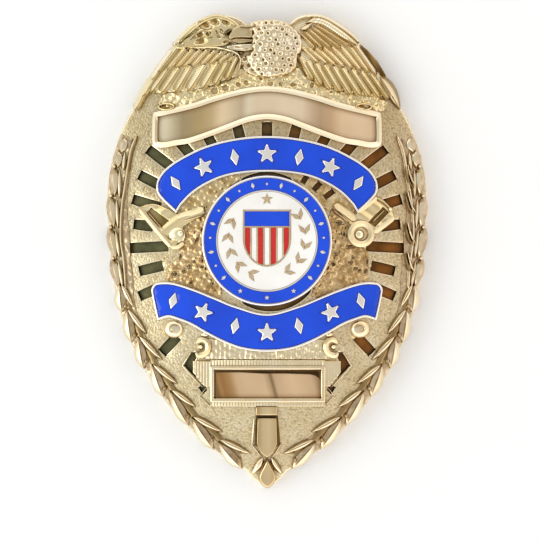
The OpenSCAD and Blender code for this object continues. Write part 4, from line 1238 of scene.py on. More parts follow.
def wings():
    ridge, side, wing, painted_shade, amber_shade, plume, hump_mark = range(7)
    mesh = Mesh()
    for loop in (LEFT_BED, RIGHT_BED):
        mesh.relief([loop], 0.5, 0.4, 0.3, mark=wing)
    # The wing's side in the brown painted reflections
    mesh.relief([WING_SIDE], 0.72, 0.4, 0.2, mark=side)
    hump = spline(HUMP_EDGE + HUMP_INNER, {0, 7, 14})
    mesh.relief([hump], lambda x, y: 0.85 + dips(x, y, HUMP_PITS), 0.16, 0.25, mark=hump_mark)
    # Knobs of painted shade in the hump's pits
    for c, rx, ry, turn, _ in HUMP_PITS[:KNOB_PITS]:
        mesh.knob(c, 1.1 * ry, 0.66, -0.3, stretch=rx / ry, angle=turn, mark=amber_shade)
    mesh.cords([(line, 0.15, 1.12, 0.4, 0.25, ridge) for line in HUMP_LINES])
    for c in HUMP_KNOBS:
        mesh.knob(c, 0.42, 1.15, 0.2, 12)
    mesh.cords([(HUMP_RIM, 0.17, 1.15, 0.4, 0.15, hump_mark)])
    mesh.cord(offset(hump, -0.22)[:HUMP_RIM_END], 0.26, 1.1, -0.3, 0.08, mark=hump_mark)
    mesh.cords([(LEFT_BAND, 0.22, 1.35, -0.2, 0.15, ridge)])
    for a, b, w in LEFT_WING:
        high = 1.2 if b[0] > LOW_FEATHER_X else 0.95
        mesh.feather(a, b, w, high, 0.2, -0.3, plume if w < LEFT_NARROW else wing)
    for a, b, w in RIGHT_WING:
        mesh.feather(a, b, w, 1.2, 0.2, 0.3, plume if w < RIGHT_NARROW else wing)
    mesh.cords([(RIGHT_SHOULDER, 0.36, 1.25, -0.5, 0.1, plume), (RIGHT_BAND, 0.62, 1.25, -0.2, 0.2, plume),
                (RIGHT_FILL, 0.34, 1.0, -0.2, 0.1, ridge)])
    for *leaf, is_shade in WING_LEAVES:
        mesh.leaf(*leaf, painted_shade if is_shade else ridge)
    build("wings", mesh, [GOLD_RELIEF, BROWN_REFLECTION, GOLD_WING, GOLD_SHADE, GOLD_AMBER_SHADE, GOLD_PLUME, GOLD_HUMP])


wings()


# Eagle

NECK = [
    (-3.12, 36.03), (-1.92, 36.61), (-0.16, 36.93), (1.6, 36.83), (3.04, 36.4), (4.08, 35.68), (5.12, 34.72),
    (5.6, 33.44), (5.44, 32.0), (4.8, 30.72), (4.64, 29.28), (3.36, 28.16), (0.48, 27.68), (-2.4, 28.0),
    (-3.92, 29.12), (-4.08, 30.64), (-2.64, 31.44), (-2.32, 32.96), (-2.4, 34.24), (-2.88, 35.04)]


def scales(x, y, step, depth, size):
    """Small uneven pits in a staggered net, as between short round feathers."""
    h = np.zeros(len(x))
    line = np.round(y / (0.84 * step))
    for k in (-1, 0, 1):
        row = line + k
        shift = 0.5 * (row % 2)
        for j in (-1, 0, 1):
            col = np.round(x / step - shift) + j
            jx = 0.2 * np.sin(12.9 * col + 7.8 * row)
            jy = 0.2 * np.sin(5.3 * col - 11.7 * row + 2.0)
            wide = size * (1 + 0.25 * np.sin(3.7 * col + 9.1 * row))
            dx = x - (col + shift + jx) * step
            dy = y - (row + jy) * 0.84 * step
            turn = 1.3 * np.sin(2.9 * col + 4.3 * row)
            u = dx * np.cos(turn) + dy * np.sin(turn)
            v = -dx * np.sin(turn) + dy * np.cos(turn)
            deep = depth * (0.85 + 0.3 * np.sin(8.1 * col + 2.3 * row))
            h -= deep * np.exp(-(u / wide) ** 2 - (v / (0.72 * wide)) ** 2)
    return h


BEAK = [
    (-2.72, 35.9), (-4.24, 36.0), (-5.36, 35.52), (-5.92, 34.72), (-6.19, 33.92), (-5.68, 33.76),
    (-5.12, 33.98), (-2.32, 33.95), (-2.32, 35.2)]
JAW = [
    (-2.24, 33.02), (-4.64, 32.96), (-6.56, 32.64), (-6.24, 32.16), (-4.8, 31.84), (-3.36, 31.84),
    (-2.24, 32.0)]
LIP = [(-6.48, 33.28), (-5.12, 33.38), (-3.68, 33.44), (-2.24, 33.5)]
MOUTH = [(-6.1, 33.5), (-4.4, 33.5), (-2.3, 33.52)]
BROW = [(-4.32, 35.76), (-2.96, 35.68), (-1.76, 35.92)]
EYE_EDGE = [(-3.01, 35.07), (-3.07, 34.66), (-2.94, 34.27)]
EYE_PITS = [((-2.51, 34.74), 0.36, 0.34, 0, 0.8), ((-2.43, 32.0), 0.34, 0.3, 0, 0.6)]
JAW_PITS = [((-4.16, 32.38), 1.3, 0.14, -6, 0.25)]
BEAK_RIDGE = [(-6.88, 34.48), (-5.28, 35.52)]
NOSTRIL = (-5.63, 34.02)
THROAT_KNOBS = [(-4.16, 31.55), (-6.0, 32.86), (-2.4, 32.1)]
NECK_MIDDLE = (1.36, 33.28)
NECK_REACH = (5.2, 6.4)


def neck_height(x, y):
    """A swollen neck with scales and the eye's hollow."""
    across_neck = (x - NECK_MIDDLE[0]) / NECK_REACH[0]
    along_neck = (y - NECK_MIDDLE[1]) / NECK_REACH[1]
    swell = np.clip(1 - across_neck ** 2 - along_neck ** 2, 0, 1)
    return 0.75 + 1.3 * np.sqrt(swell + 1e-9) + scales(x, y, 0.98, 0.42, 0.27) + dips(x, y, EYE_PITS)


def eagle():
    ridge, tan_gold, painted_shade, painted_highlight = range(4)
    mesh = Mesh()
    mesh.relief([spline(NECK, n=4)], neck_height, 0.13, 0.3)
    mesh.relief([spline(BEAK, {0, 4, 7, 8}, 5)], 1.4, 0.3, 0.25, -0.3, mark=tan_gold)
    mesh.leaf(*BEAK_RIDGE, 0.9, 1.75, 0.05)
    # A dark nostril knob: painted shade
    mesh.knob(NOSTRIL, 0.38, 1.15, -0.3, stretch=1.5, mark=painted_shade)
    mesh.cord(LIP, 0.24, 1.35, -0.2, 0.2)
    mesh.cord(MOUTH, 0.44, 1.2, -0.2, 0.2, slope=0.5, mark=tan_gold)
    mesh.relief([spline(JAW, {0, 2, 6}, 5)], lambda x, y: 1.1 + dips(x, y, JAW_PITS), 0.25, 0.22, -0.3)
    mesh.cord(BROW, 0.26, 1.8, 0.5, 0.3, mark=tan_gold)
    # The eye's edge in painted highlight
    mesh.cord(EYE_EDGE, 0.17, 1.85, 0.5, 0.3, mark=painted_highlight)
    # Dark throat knobs: painted shade
    for c in THROAT_KNOBS:
        mesh.knob(c, 0.32, 0.75, -0.2, stretch=1.5, mark=painted_shade)
    build("eagle", mesh, [GOLD_RELIEF, GOLD_TAN, GOLD_SHADE, GOLD_HIGHLIGHT])


eagle()


# Leaves and tail feathers under the eagle, down to the name panel

UNDER = [
    (-17.4, 23.6), (-16.4, 25.1), (-12.0, 25.6), (-8.16, 26.2), (-5.28, 27.36), (-4.16, 29.12),
    (-2.72, 28.48), (3.68, 28.48), (4.96, 29.44), (5.92, 27.84), (8.8, 26.2), (12.48, 25.2), (17.2, 24.8),
    (19.36, 23.68), (18.72, 22.32), (17.6, 22.02), (11.68, 23.38), (8.32, 24.46), (3.68, 25.63), (0.0, 26.02),
    (-3.68, 25.63), (-8.32, 24.46), (-11.68, 23.38), (-16.6, 22.22)]
UNDER_PITS = [
    ((-6.61, 25.92), 0.36, 0.36, 0, 0.6), ((-8.38, 25.44), 0.5, 0.44, 0, 0.6),
    ((-4.51, 26.48), 0.36, 0.3, 0, 0.5), ((-3.2, 26.78), 0.45, 0.28, 0, 0.5),
    ((4.16, 26.4), 0.42, 0.22, 0, 0.5), ((7.17, 26.4), 0.2, 0.36, 0, 0.5), ((0.48, 26.56), 0.4, 0.24, 0, 0.5),
    ((2.16, 26.48), 0.3, 0.24, 0, 0.5)]
# Eyes of painted shade in the scroll ends beside the panel, and their half sizes
SCROLL_EYES = [(15.5, 22.9), (-16.12, 22.95)]
EYE_LONG = 1.25
EYE_HIGH = 0.5


def under_zone():
    mesh = Mesh()

    def soft_leaves(x, y):
        lumps = pebbles(x, y, 1.15, 0.18) + 0.5 * pebbles(x, y, 0.7, 0.16, 4.0)
        return 0.3 + lumps + scales(x, y, 1.25, 0.24, 0.24) + dips(x, y, UNDER_PITS)

    mesh.relief([UNDER], soft_leaves, 0.15, 0.1)
    for c in SCROLL_EYES:
        ways = [t / 6 * math.pi for t in range(12)]
        path = [(c[0] + EYE_LONG * math.cos(w), c[1] + EYE_HIGH * math.sin(w)) for w in ways]
        mesh.cord(path, 0.2, 0.95, closed=True)
        # A knob of painted shade in the eye
        mesh.knob(c, 0.45, 0.42, -0.3, stretch=2.6, mark=1)
    build("under_eagle", mesh, [GOLD_HUMP, GOLD_AMBER_SHADE])


under_zone()


# Name panel

NAME_HALF = [
    (0.0, 25.94), (3.68, 25.55), (8.32, 24.38), (11.68, 23.3), (18.08, 21.82), (18.14, 17.6), (17.86, 16.83),
    (16.48, 16.61), (14.56, 16.93), (12.48, 17.25), (9.28, 18.3), (5.76, 19.62), (2.88, 20.67), (0.0, 21.09)]


def name_panel():
    loop = spline(mirrored_loop(NAME_HALF), {4, 22})
    mesh = Mesh()
    mesh.relief([loop, offset(loop, -0.46)], 0.6, 0.5, 0.1, lambda i, x, y: face(x, y) + (0.1 if i else -0.6))
    mesh.cord(offset(loop, -0.2), 0.42, 1.0, closed=True, slope=FACET_SLOPE)
    # The rim in painted highlight
    build("name_panel_rim", mesh, [GOLD_HIGHLIGHT])
    mesh = Mesh()
    mesh.relief([offset(loop, -0.4)], 0.15, 0.6, 0, -0.4)
    # The floor in painted reflections
    build("name_panel_floor", mesh, [PANEL_REFLECTION])


name_panel()


# Number panel

# Ribbed ground at the panel's left, which is mirrored for the right
HATCH = [(-11.81, -17.76), (-8.86, -17.76), (-8.86, -21.92), (-10.08, -21.82), (-11.81, -19.6)]
# Painted shadow on the upper and left sides of the recess, rounded at the top right
PANEL_SHADE = [
    (-8.43, -19.12), (8.64, -19.12), (8.64, -21.2), (8.36, -20.55), (7.76, -20.1), (6.88, -19.88),
    (2.88, -19.74), (-0.8, -19.74), (-4.32, -19.55), (-8.13, -19.58), (-8.2, -20.32), (-8.22, -23.68),
    (-8.43, -23.68)]
NUMBER_INNER = rectangle((-8.43, -23.7), (8.62, -19.14))
NUMBER_OUTER = rectangle((-9.12, -24.4), (9.36, -18.56))
MILLED_BARS = [rectangle((-9.12, -18.59), (9.36, -17.6)), rectangle((-9.12, -25.05), (9.36, -24.35))]
LEAFY_BAR = rectangle((-9.9, -17.45), (9.9, -14.3))
# Raised lines in painted highlight round the angled slots of the left side: path, radius, height, taper
CHEVRON_LINES = [
    ([(-12.24, -16.45), (-13.54, -18.5), (-12.0, -20.24), (-10.32, -21.92)], 0.17, 0.35, 0.1),
    ([(-9.76, -22.08), (-10.8, -23.36), (-8.8, -25.28)], 0.15, 0.3, 0.2)]


def milled(x, y):
    return 0.45 + 0.045 * np.sin(2 * math.pi * x / 0.48)


def ribbed(x, y):
    return 0.5 + 0.028 * np.sin(2 * math.pi * x / 0.46)


def leafy(x, y):
    return 0.2 + 0.13 * np.sin(2 * math.pi * x / 1.5 + 0.8 * np.sin(0.7 * x)) ** 2 + pebbles(x, y, 0.9, 0.1)


def number_panel():
    mesh = Mesh()
    frame_loops = [NUMBER_OUTER, NUMBER_INNER]
    mesh.relief(frame_loops, 0.85, 0.4, 0.25, lambda i, x, y: face(x, y) + (0.0 if i else -0.6))
    build("number_panel_frame", mesh, [GOLD_RELIEF])
    mesh = Mesh()
    mesh.relief([offset(NUMBER_INNER, 0.05)], 0.05, 0.6, 0, -0.4)
    # Painted shadow along the top and left of the recess
    mesh.relief([PANEL_SHADE], 0.14, 0.4, 0.03, -0.2, mark=1)
    build("number_panel_floor", mesh, [NUMBER_REFLECTION, LIP_SHADOW])
    mesh = Mesh()
    for bar in MILLED_BARS:
        mesh.relief([bar], milled, 0.12, 0.06, FOOT, (1.0,))
    mesh.relief([LEAFY_BAR], leafy, 0.2, 0.06, FOOT, (1.0,))
    for way in (1, -1):
        mesh.relief([sided(HATCH, -way)], ribbed, 0.115, 0.1, FOOT, (1.0,))
        for line, radius, high, taper in CHEVRON_LINES:
            mesh.cord(sided(line, -way), radius, high, -0.2, taper, mark=1)
    build("number_panel_milling", mesh, [GOLD_SATIN, GOLD_HIGHLIGHT])


number_panel()


# Ribbon folds, rolls and curls

SPIRAL_STEPS = 40


def spiral(c, r, turns, start, way):
    out = []
    for i in range(SPIRAL_STEPS + 1):
        t = i / SPIRAL_STEPS
        out.append(on_circle(c, r * (1 - 0.78 * t), math.radians(start) + way * 2 * math.pi * turns * t))
    return out


LEFT_SHEET = [
    (-20.48, 6.88), (-19.2, 7.28), (-17.92, 7.36), (-16.16, 6.72), (-14.24, 5.6), (-10.08, 6.96),
    (-9.92, 5.84), (-13.28, 3.84), (-14.4, 0.64), (-15.84, 0.48)]
LEFT_RECESS = [(-18.53, 6.75), (-15.71, 4.7), (-16.93, 3.58), (-19.39, 5.6)]
RIGHT_SHEET = [
    (10.48, 7.04), (11.28, 7.6), (14.24, 5.6), (14.48, 6.16), (17.47, 8.45), (18.88, 7.6), (19.97, 6.56),
    (20.35, 5.2), (17.28, 2.64), (13.6, 3.84)]
RIGHT_RECESS = [(16.16, 4.42), (18.56, 6.88), (19.49, 6.02), (17.25, 3.68)]
# Bright edges of the folds: path, radius, height
FOLD_EDGES = [
    ([(-20.4, 6.64), (-17.84, 3.52), (-15.28, 0.51)], 0.44, 1.0),
    ([(-19.1, 6.08), (-18.0, 4.8), (-16.7, 3.36)], 0.15, 0.95),
    ([(-20.24, 6.8), (-18.08, 7.23), (-15.68, 6.32)], 0.2, 0.9),
    ([(-15.36, 0.48), (-14.32, 0.45), (-13.28, 1.12)], 0.3, 1.0),
    ([(-14.56, 5.2), (-12.32, 5.84), (-10.16, 6.56)], 0.46, 0.95),
    ([(-14.56, 4.48), (-12.32, 4.88), (-10.24, 5.52)], 0.18, 0.85),
    ([(14.53, 6.08), (16.0, 7.26), (17.5, 8.38)], 0.46, 1.05),
    ([(17.52, 8.35), (18.8, 7.58), (19.87, 6.5)], 0.22, 0.9),
    ([(17.09, 2.78), (18.72, 3.97), (20.32, 5.25)], 0.42, 1.0),
    ([(16.83, 4.42), (17.84, 5.44), (18.85, 6.42)], 0.15, 0.8),
    ([(10.8, 7.23), (12.4, 6.08), (14.16, 4.77)], 0.46, 1.0),
    ([(10.4, 6.48), (11.68, 5.52), (13.12, 4.4)], 0.18, 0.85)]
CURL = [
    (-11.3, -14.91), (-10.59, -14.34), (-9.73, -14.59), (-9.38, -15.49), (-9.76, -16.45), (-10.82, -16.83),
    (-11.39, -16.38)]
# Knobs of the left scroll end: place, radius, height, foot, sides
LEFT_ROLL = [
    ((-14.4, 2.32), 1.6, 0.95, -0.5, 28), ((-13.86, 2.66), 0.75, 1.2, 0.2, 18),
    ((-14.94, 1.82), 0.62, 1.1, 0.2, 18)]
RIGHT_ROLL = (15.04, 2.56)
RIGHT_KNOBS = [((14.78, 2.46), 0.95, 0.95, 0.0, 20), ((19.78, 6.5), 0.5, 1.15, 0.0, 16)]
# Roll, curl and lobe beside the milled bar at the left
LOW_ROLL = (-15.01, -12.72)
CURL_EYE = (-10.62, -15.49)
CURL_LOBE = (-9.92, -13.52)


def fold_sheets(mesh, side, sheet_mark):
    """The rippled sheets, with their recesses in dark painted reflection and shade."""
    for sheet, recess, tilt in ((LEFT_SHEET, LEFT_RECESS, -0.82), (RIGHT_SHEET, RIGHT_RECESS, 0.82)):

        def swell(x, y):
            return 0.62 + 0.19 * np.sin(2 * math.pi * (0.57 * x + tilt * y) / 2.5)

        def foot(i, x, y):
            return face(x, y) - (0.1 if i else 0.6)

        mesh.relief([sheet, recess], swell, 0.3, 0.12, foot, mark=sheet_mark)
        mesh.relief([offset(recess, 0.03)], 0.06, 0.6, 0, -0.3, mark=side)


def folds():
    _, side, fold, edge, sheet_mark = range(5)
    mesh = Mesh()
    fold_sheets(mesh, side, sheet_mark)
    for path, radius, high in FOLD_EDGES:
        slope = FACET_SLOPE if radius > 0.25 else 0
        mesh.cord(smooth(path, 8), radius, high, -0.4, 0.08, slope=slope, mark=edge)
    for c, radius, high, foot, sides in LEFT_ROLL:
        mesh.knob(c, radius, high, foot, sides, mark=fold)
    mesh.knob(RIGHT_ROLL, 2.0, 0.55, -0.5, 32)
    ring = [on_circle(RIGHT_ROLL, 1.66, t / 18 * math.pi) for t in range(36)]
    mesh.cord(ring, 0.48, 1.15, -0.2, closed=True, slope=FACET_SLOPE, mark=edge)
    for c, radius, high, foot, sides in RIGHT_KNOBS:
        mesh.knob(c, radius, high, foot, sides, mark=fold)
    for way in (1, -1):
        c, eye, lobe = sided([LOW_ROLL, CURL_EYE, CURL_LOBE], way)
        mesh.knob(c, 1.45, 0.95, -0.5, 28, stretch=1.12)
        mesh.cord(spiral(c, 1.0, 0.8, 100 - way * 60, way), 0.17, 1.08, 0.4, 0.3)
        curl = sided(smooth(CURL), way)
        mesh.cord(curl, lambda t: 0.36 + 0.1 * t, 0.9, -0.3, 0.12, slope=FACET_SLOPE, mark=edge)
        mesh.knob(eye, 0.52, 0.8, -0.2, mark=fold)
        mesh.knob(lobe, 0.5, 0.7, -0.2, stretch=1.3, mark=fold)
    build("folds", mesh, [GOLD_RELIEF, BROWN_REFLECTION, GOLD_FOLD, GOLD_EDGE, GOLD_HUMP])


folds()


# Foliage beside the seal

# Small hollows of the left and of the right spray, each holding a knob of painted shade: place, radii, turn,
# depth
LEFT_HOLLOWS = [
    ((-12.42, -2.64), 0.32, 0.24, -20, 0.5), ((-13.22, -3.3), 0.24, 0.28, 0, 0.5),
    ((-14.66, -3.87), 0.48, 0.36, 30, 0.6), ((-13.86, -0.99), 0.16, 0.42, 0, 0.5),
    ((-11.1, 1.63), 0.2, 0.26, 0, 0.4), ((-10.37, -2.69), 0.22, 0.22, 0, 0.4),
    ((-11.68, -1.92), 0.3, 0.2, 0, 0.4), ((-12.1, -5.34), 0.24, 0.24, 0, 0.4),
    ((-8.7, -5.41), 0.24, 0.24, 0, 0.4)]
RIGHT_HOLLOWS = [
    ((13.76, -1.23), 0.26, 0.26, 0, 0.5), ((13.34, -2.02), 0.32, 0.24, 40, 0.5),
    ((14.11, -2.98), 0.28, 0.22, 0, 0.5), ((14.78, -3.31), 0.26, 0.22, 0, 0.5),
    ((15.71, -3.46), 0.26, 0.5, -15, 0.6), ((10.99, -0.56), 0.24, 0.24, 0, 0.4),
    ((10.56, -2.29), 0.24, 0.24, 0, 0.4), ((12.32, 2.46), 0.3, 0.5, 0, 0.6),
    ((11.46, 4.35), 0.75, 0.26, 0, 0.6), ((16.1, -1.92), 0.16, 0.6, -10, 0.5),
    ((13.28, 0.51), 0.7, 0.26, 0, 0.4)]
LEFT_SPRAY = [
    (-13.75, 0.9), (-13.2, 3.4), (-11.6, 5.0), (-9.76, 6.2), (-8.8, -1.92), (-7.2, -7.36), (-9.76, -8.32),
    (-12.96, -7.36), (-15.6, -5.9), (-15.9, -3.6), (-15.2, -2.1), (-14.1, -1.2)]
RIGHT_SPRAY = [
    (14.2, 0.6), (13.0, 3.6), (11.8, 5.2), (10.2, 6.4), (8.8, -1.92), (7.2, -7.36), (9.76, -8.32),
    (12.96, -7.36), (15.4, -5.9), (16.1, -3.6), (16.2, -1.0), (15.6, 0.3)]
# Mottled ground between the seal and the upper ribbon
MOTTLED = [
    (-14.3, 6.6), (-13.7, 7.7), (-11.6, 9.75), (-8.4, 11.55), (-5.0, 12.5), (-4.2, 12.6), (-4.3, 11.2),
    (-5.4, 10.35), (-7.2, 8.7), (-8.8, 6.7), (-9.9, 6.3), (-13.6, 5.3)]


def foliage():
    _, pit, moss = range(3)
    mesh = Mesh()
    for way, loop, hollows in ((-1, LEFT_SPRAY, LEFT_HOLLOWS), (1, RIGHT_SPRAY, RIGHT_HOLLOWS)):

        def crowd(x, y):
            bumps = pebbles(x, y, 1.05, 0.18, 2.0 + way) + 0.6 * pebbles(x, y, 0.66, 0.14, 5.0)
            return 0.12 + bumps + dips(x, y, hollows)

        def mottled(x, y):
            return 0.1 + pebbles(x, y, 0.95, 0.15, 3.0 + way)

        mesh.relief([spline(loop, n=4)], crowd, 0.17, 0.1)
        # Knobs of painted shade in the hollows
        for c, rx, ry, turn, _ in hollows:
            mesh.knob(c, 0.8 * ry, 0.16, -0.3, 10, 3, rx / ry, turn, pit)
        slots = [slot_loop(*row, 0.1, SHORT_W) for row in SHORT_BURST] if way > 0 else []
        mesh.relief([MOTTLED if way < 0 else mirror(MOTTLED)] + slots, mottled, 0.17, 0.1, -0.4, mark=moss)
    build("foliage", mesh, [GOLD_FOLIAGE, HOLLOW_SHADE, GOLD_MOSS])


foliage()


# Spike at the point

POST = [
    (-1.5, -26.9), (1.5, -26.9), (1.62, -31.1), (0.95, -32.5), (0.0, -33.28), (-0.95, -32.5), (-1.62, -31.1)]
POST_BED = [(-1.8, -26.5), (1.75, -26.5), (2.16, -31.3), (1.5, -31.5), (-1.5, -31.5), (-2.02, -31.3)]
CAP = [(-1.8, -25.05), (1.6, -25.05), (1.6, -26.48), (-1.8, -26.48)]
LEFT_EDGE = [(-2.08, -27.04), (-2.21, -29.12), (-2.43, -31.2), (-0.8, -33.28)]
RIGHT_EDGE = [(2.27, -30.96), (1.6, -32.16), (0.8, -33.28)]
DROP = [
    (0.03, -33.52), (0.7, -34.88), (1.34, -36.2), (1.22, -37.2), (0.62, -37.92), (0.08, -38.2),
    (-0.5, -37.92), (-1.12, -37.2), (-1.22, -36.2), (-0.62, -34.88)]

# Leaf, and seam of painted shade, at the right of the point
POINT_LEAF = [(0.7, -33.3), (2.45, -35.95)]
POINT_SEAM = [(0.0, -33.3), (0.65, -34.6), (1.3, -36.6)]


def spike():
    _, tan, floor, painted_highlight, painted_shade = range(5)
    mesh = Mesh()
    # The post's bed in the slot floor's painted reflection and shade
    mesh.relief([POST_BED], 0.12, 0.4, 0.05, -0.5, mark=floor)
    # The post, its cap and the drop in painted reflections
    mesh.relief([POST], 0.85, 0.4, 0.14, -0.5, mark=tan)
    mesh.relief([CAP], 0.75, 0.4, 0.22, -0.5, mark=tan)
    # Edges of the post in painted highlight
    mesh.cord(LEFT_EDGE, 0.2, 0.45, taper=0.1, mark=painted_highlight)
    mesh.cord(RIGHT_EDGE, 0.17, 0.4, taper=0.2, mark=painted_highlight)
    # Leaves on wider dark leaves of painted shade, under leaves in painted highlight, and seams of painted
    # shade
    for way, wide in ((1, 0.8), (-1, 1.1)):
        line = sided(POINT_LEAF, way)
        mesh.leaf(*line, 1.25, 0.45, 0.04 * way, "round", painted_shade)
        mesh.leaf(*line, wide, 0.85, 0.04 * way, "round", painted_highlight)
        mesh.cord(sided(POINT_SEAM, way), 0.24, 0.35, taper=0.15, mark=painted_shade)
    mesh.relief([spline(DROP, {0})], 0.9, 0.3, 0.35, -0.5, mark=tan)
    build("spike", mesh, [GOLD_RELIEF, SPIKE_REFLECTION, SLOT_FLOOR, GOLD_HIGHLIGHT, GOLD_SHADE])


spike()


# Seal

SEAL_TOP = 9.09
FIELD_R = 7.88
RING_IN = 8.1
RING_OUT = 10.0
CREST_W, CREST_H, CREST_Y = 7.6, 9.0, 0.416
CELL_WALL = 0.2
# Width of the seal's ring, whose marks are shares of it
RING_W = 1.9
MARK_TURN = 14.5
CHIEF_SHARE = 0.3
PALES = 7
SPRIG_LEAVES = 5
SPRIG_START = -62
SPRIG_STEP = 23
STAR_SIZE = 0.936
# Half length and half width of a sprig's leaf
SPRIG_LONG = 0.936
SPRIG_WIDE = 0.333
# Turned outline of the disc: distance from the ring's outer radius, height over the top
SEAL_PROFILE = [
    (0, -0.5), (0, -0.1), (0.05, -0.02), (0.13, 0), (0.25, -0.03), (0.36, -0.14), (0.4, -0.3), (0.4, -1.2),
    (0.3, -1.3)]


def circle(r):
    return [on_circle((0.0, 0.0), r, 2 * math.pi * i / 120) for i in range(120)]


def on_seal(loop):
    """A loop about the seal's middle in the frame of the badge."""
    return [(x, y + SEAL_Y) for x, y in loop]


def crest_loop(grow=0.0):
    w, top, n = CREST_W / 2 + grow, CREST_H / 2 + grow, 20
    arcs = [(-w * math.cos(math.pi * i / n), CREST_Y - top * math.sin(math.pi * i / n)) for i in range(n + 1)]
    return [(-w, CREST_Y + top)] + arcs + [(w, CREST_Y + top)]


def clip(loop, axis, limit, keep_above):
    """The part of a convex loop on one side of an upright or level line."""
    out = []
    for a, b in zip(loop, loop[1:] + loop[:1]):
        ia = (a[axis] >= limit) == keep_above
        ib = (b[axis] >= limit) == keep_above
        if ia:
            out.append(a)
        if ia != ib:
            out.append(mix(a, b, (limit - a[axis]) / (b[axis] - a[axis])))
    return out


def seal_mesh():
    """An empty mesh whose heights are counted from the seal's flat top."""
    mesh = Mesh()
    mesh.ground = lambda x, y: np.full(np.shape(x), SEAL_TOP)
    return mesh


def raised(mesh, loops, edge=0.07, spacing=0.5, mark=1):
    """A flat raised form of the seal, by default in the near-white metal of painted highlight."""
    mesh.relief([on_seal(loop) for loop in loops], 0.0, spacing, edge,
                lambda i, x, y: np.full(len(x), SEAL_TOP - 0.52), (0.35, 1.0), mark)


def ring_marks(mesh):
    """Lozenges, large and small in turn, and three stars below."""
    middle = (RING_IN + RING_OUT) / 2
    half = 0.3 * RING_W
    for i in range(19):
        t = (i - 9) * MARK_TURN
        c = (middle * math.sin(math.radians(t)), middle * math.cos(math.radians(t)))
        long, wide = (1, 1) if i % 2 == 0 else (0.5, 0.8)
        loop = [(0, half * long), (0.5 * half * wide, 0), (0, -half * long), (-0.5 * half * wide, 0)]
        raised(mesh, [turned(loop, c, -t)])
    for t in (-28, 0, 28):
        a = math.radians(180 + t)
        raised(mesh, [star_loop((middle * math.sin(a), middle * math.cos(a)), 0.26 * RING_W)])


def small_shield(mesh):
    """Walls of the striped shield, with a cell for the chief and one for each pale."""
    inner = crest_loop(-CELL_WALL)
    chief_y = CREST_Y + CREST_H / 2 - CHIEF_SHARE * CREST_H
    pale_w = (CREST_W - 2 * CELL_WALL) / PALES
    cells = [clip(inner, 1, chief_y + CELL_WALL / 2, True)]
    for i in range(PALES):
        x0 = -CREST_W / 2 + CELL_WALL + i * pale_w + CELL_WALL / 2
        pale = clip(clip(inner, 0, x0, True), 0, x0 + pale_w - CELL_WALL, False)
        cells.append(clip(pale, 1, chief_y - CELL_WALL / 2, False))
    raised(mesh, [crest_loop()] + cells, 0.05, 0.4, 0)


def sprigs(mesh):
    """Pairs of leaves along an arc on both sides of the small shield."""
    r = 0.78 * FIELD_R
    for way in (1, -1):
        d = way * 0.075 * SEAL_EDGE
        loop = [(d - SPRIG_LONG, 0), (d, SPRIG_WIDE), (d + SPRIG_LONG, 0), (d, -SPRIG_WIDE)]
        for i in range(SPRIG_LEAVES):
            angle = SPRIG_START + i * SPRIG_STEP
            t = math.radians(angle)
            c = (way * r * math.cos(t), CREST_Y + r * math.sin(t))
            for lean in (-1, 1):
                turn = way * (angle + 90 + lean * 32) + (180 if way < 0 else 0)
                raised(mesh, [turned(loop, c, turn)], mark=0)


def seal():
    mesh = seal_mesh()
    profile = [(RING_OUT + out, SEAL_TOP + rise) for out, rise in SEAL_PROFILE] + [(0.01, SEAL_TOP - 1.3)]
    mesh.grid(lathe((0.0, SEAL_Y), profile, 144), 1, closed=True)
    floor = on_seal(circle(RING_OUT + 0.01))
    mesh.relief([floor], -0.5, 1.2, 0, lambda i, x, y: np.full(len(x), SEAL_TOP - 0.55))
    raised(mesh, [circle(RING_IN), circle(FIELD_R)])
    ring_marks(mesh)
    small_shield(mesh)
    sprigs(mesh)
    raised(mesh, [star_loop((0, 0.84 * FIELD_R), STAR_SIZE)], mark=0)
    build("seal", mesh, [GOLD_SEAL, HIGHLIGHT_METAL], ["seal_disc"])


seal()

# The seal's enamels and the pin back are shown as the solids themselves, with their materials
FINISH = {
    "seal_ring_enamel": BLUE, "seal_chief_enamel": BLUE, "seal_field_enamel": WHITE, "pin_back": GOLD_BACK,
    "shield": GOLD_STIPPLE, "seal_disc": GOLD_HIGHLIGHT, "upper_ribbon_enamel": BLUE,
    "lower_ribbon_enamel": BLUE}
for node, obj in frame["nodes"].items():
    colour = FINISH.get(node) or (RED if "red" in node else WHITE)
    obj.data.materials.clear()
    obj.data.materials.append(colour)


# Stage, light and camera. The light and the camera are measured in metres

FLOOR_HALF = 900
FLOOR_STEPS = 24
FLOOR_Z = -0.02


def stage():
    floor = Mesh()
    places = [-FLOOR_HALF + 2 * FLOOR_HALF * i / FLOOR_STEPS for i in range(FLOOR_STEPS + 1)]
    floor.grid([[(x, y, FLOOR_Z) for x in places] for y in places])
    data = bpy.data.meshes.new("floor")
    data.from_pydata([(x * MM, y * MM, z * MM) for x, y, z in floor.verts], [], floor.faces)
    m, n, shader, place = material("floor_paper")
    paper = n.blend(n.noise(place, 8.0, 2.0), (0.955, 0.965, 0.995), (0.965, 0.975, 1.0))
    n.put(shader, {"Base Color": paper, "Roughness": 0.8})
    data.materials.append(m)
    obj = bpy.data.objects.new("floor", data)
    bpy.context.scene.collection.objects.link(obj)


def light(name, place, target, size, power, colour):
    data = bpy.data.lights.new(name, "AREA")
    data.shape = "RECTANGLE"
    data.size, data.size_y = size
    data.energy = power
    data.color = colour
    obj = bpy.data.objects.new(name, data)
    obj.location = place
    obj.rotation_euler = (Vector(target) - Vector(place)).to_track_quat("-Z", "Y").to_euler()
    bpy.context.scene.collection.objects.link(obj)


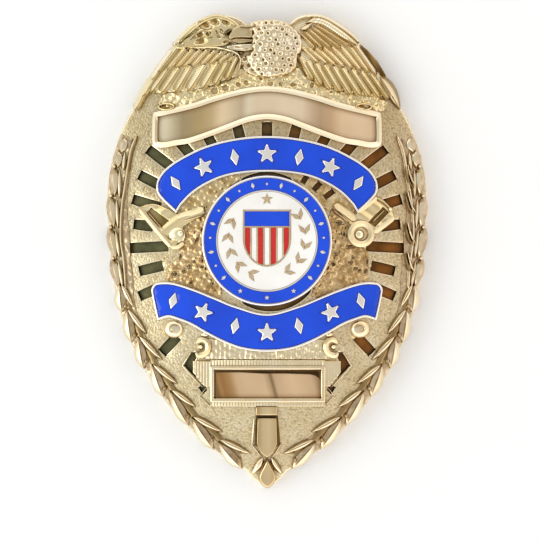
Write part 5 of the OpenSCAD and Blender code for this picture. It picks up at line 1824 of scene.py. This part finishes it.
# Brightness of the room from straight below to straight above, then its tints from left to right and from
# the near to the far side
ROOM = [
    (0.0, (0.9, 0.9, 0.9)), (0.25, (1.5, 1.49, 1.47)), (0.5, (1.42, 1.4, 1.37)), (0.62, (0.96, 0.95, 0.94)),
    (0.74, (0.68, 0.67, 0.66)), (0.9, (0.68, 0.67, 0.66)), (1.0, (0.7, 0.69, 0.68))]
SIDE_TINT = [(0.15, (1.04, 1.09, 1.06)), (0.5, (1.0, 1.0, 1.0)), (0.85, (0.95, 0.89, 0.82))]
FRONT_TINT = [(0.2, (1.2, 1.2, 1.2)), (0.5, (1.0, 1.0, 1.0)), (0.8, (0.94, 0.94, 0.94))]


def world():
    w = bpy.data.worlds.new("studio")
    bpy.context.scene.world = w
    w.use_nodes = True
    n = Nodes(w.node_tree)
    x, y, z = n.axes(n.new("ShaderNodeTexCoord").outputs["Generated"])
    side = n.ramp(n.math("MULTIPLY_ADD", x, 0.5, 0.5), SIDE_TINT)
    tint = n.times(side, n.math("MULTIPLY_ADD", y, 0.5, 0.5), FRONT_TINT)
    colour = n.blend(1.0, n.ramp(z, ROOM), tint, "MULTIPLY")
    background = n.new("ShaderNodeBackground", {"Color": colour, "Strength": 1.0})
    n.new("ShaderNodeOutputWorld", {0: background.outputs[0]})


# Width of the picture at the badge and distance of the camera, in metres
SEEN_W = 0.0864
REACH = 0.9
FILM = 36.0
CAMERA_PLACE = (0.00048, -0.0032, REACH + 0.004)


def camera():
    data = bpy.data.cameras.new("camera")
    data.lens = FILM * REACH / SEEN_W
    data.sensor_width = FILM
    data.clip_start, data.clip_end = 0.01, 20
    cam = bpy.data.objects.new("camera", data)
    cam.location = CAMERA_PLACE
    bpy.context.scene.collection.objects.link(cam)
    bpy.context.scene.camera = cam


KEY_PLACE = (-1.2, -0.3, 0.6)
KEY_SIZE = (0.8, 0.8)
KEY_POWER = 3.5
KEY_COLOUR = (1, 0.99, 0.97)

stage()
world()
light("key", KEY_PLACE, (0, 0, 0), KEY_SIZE, KEY_POWER, KEY_COLOUR)
camera()
view = bpy.context.scene.view_settings
view.view_transform = "Standard"
view.look = "None"
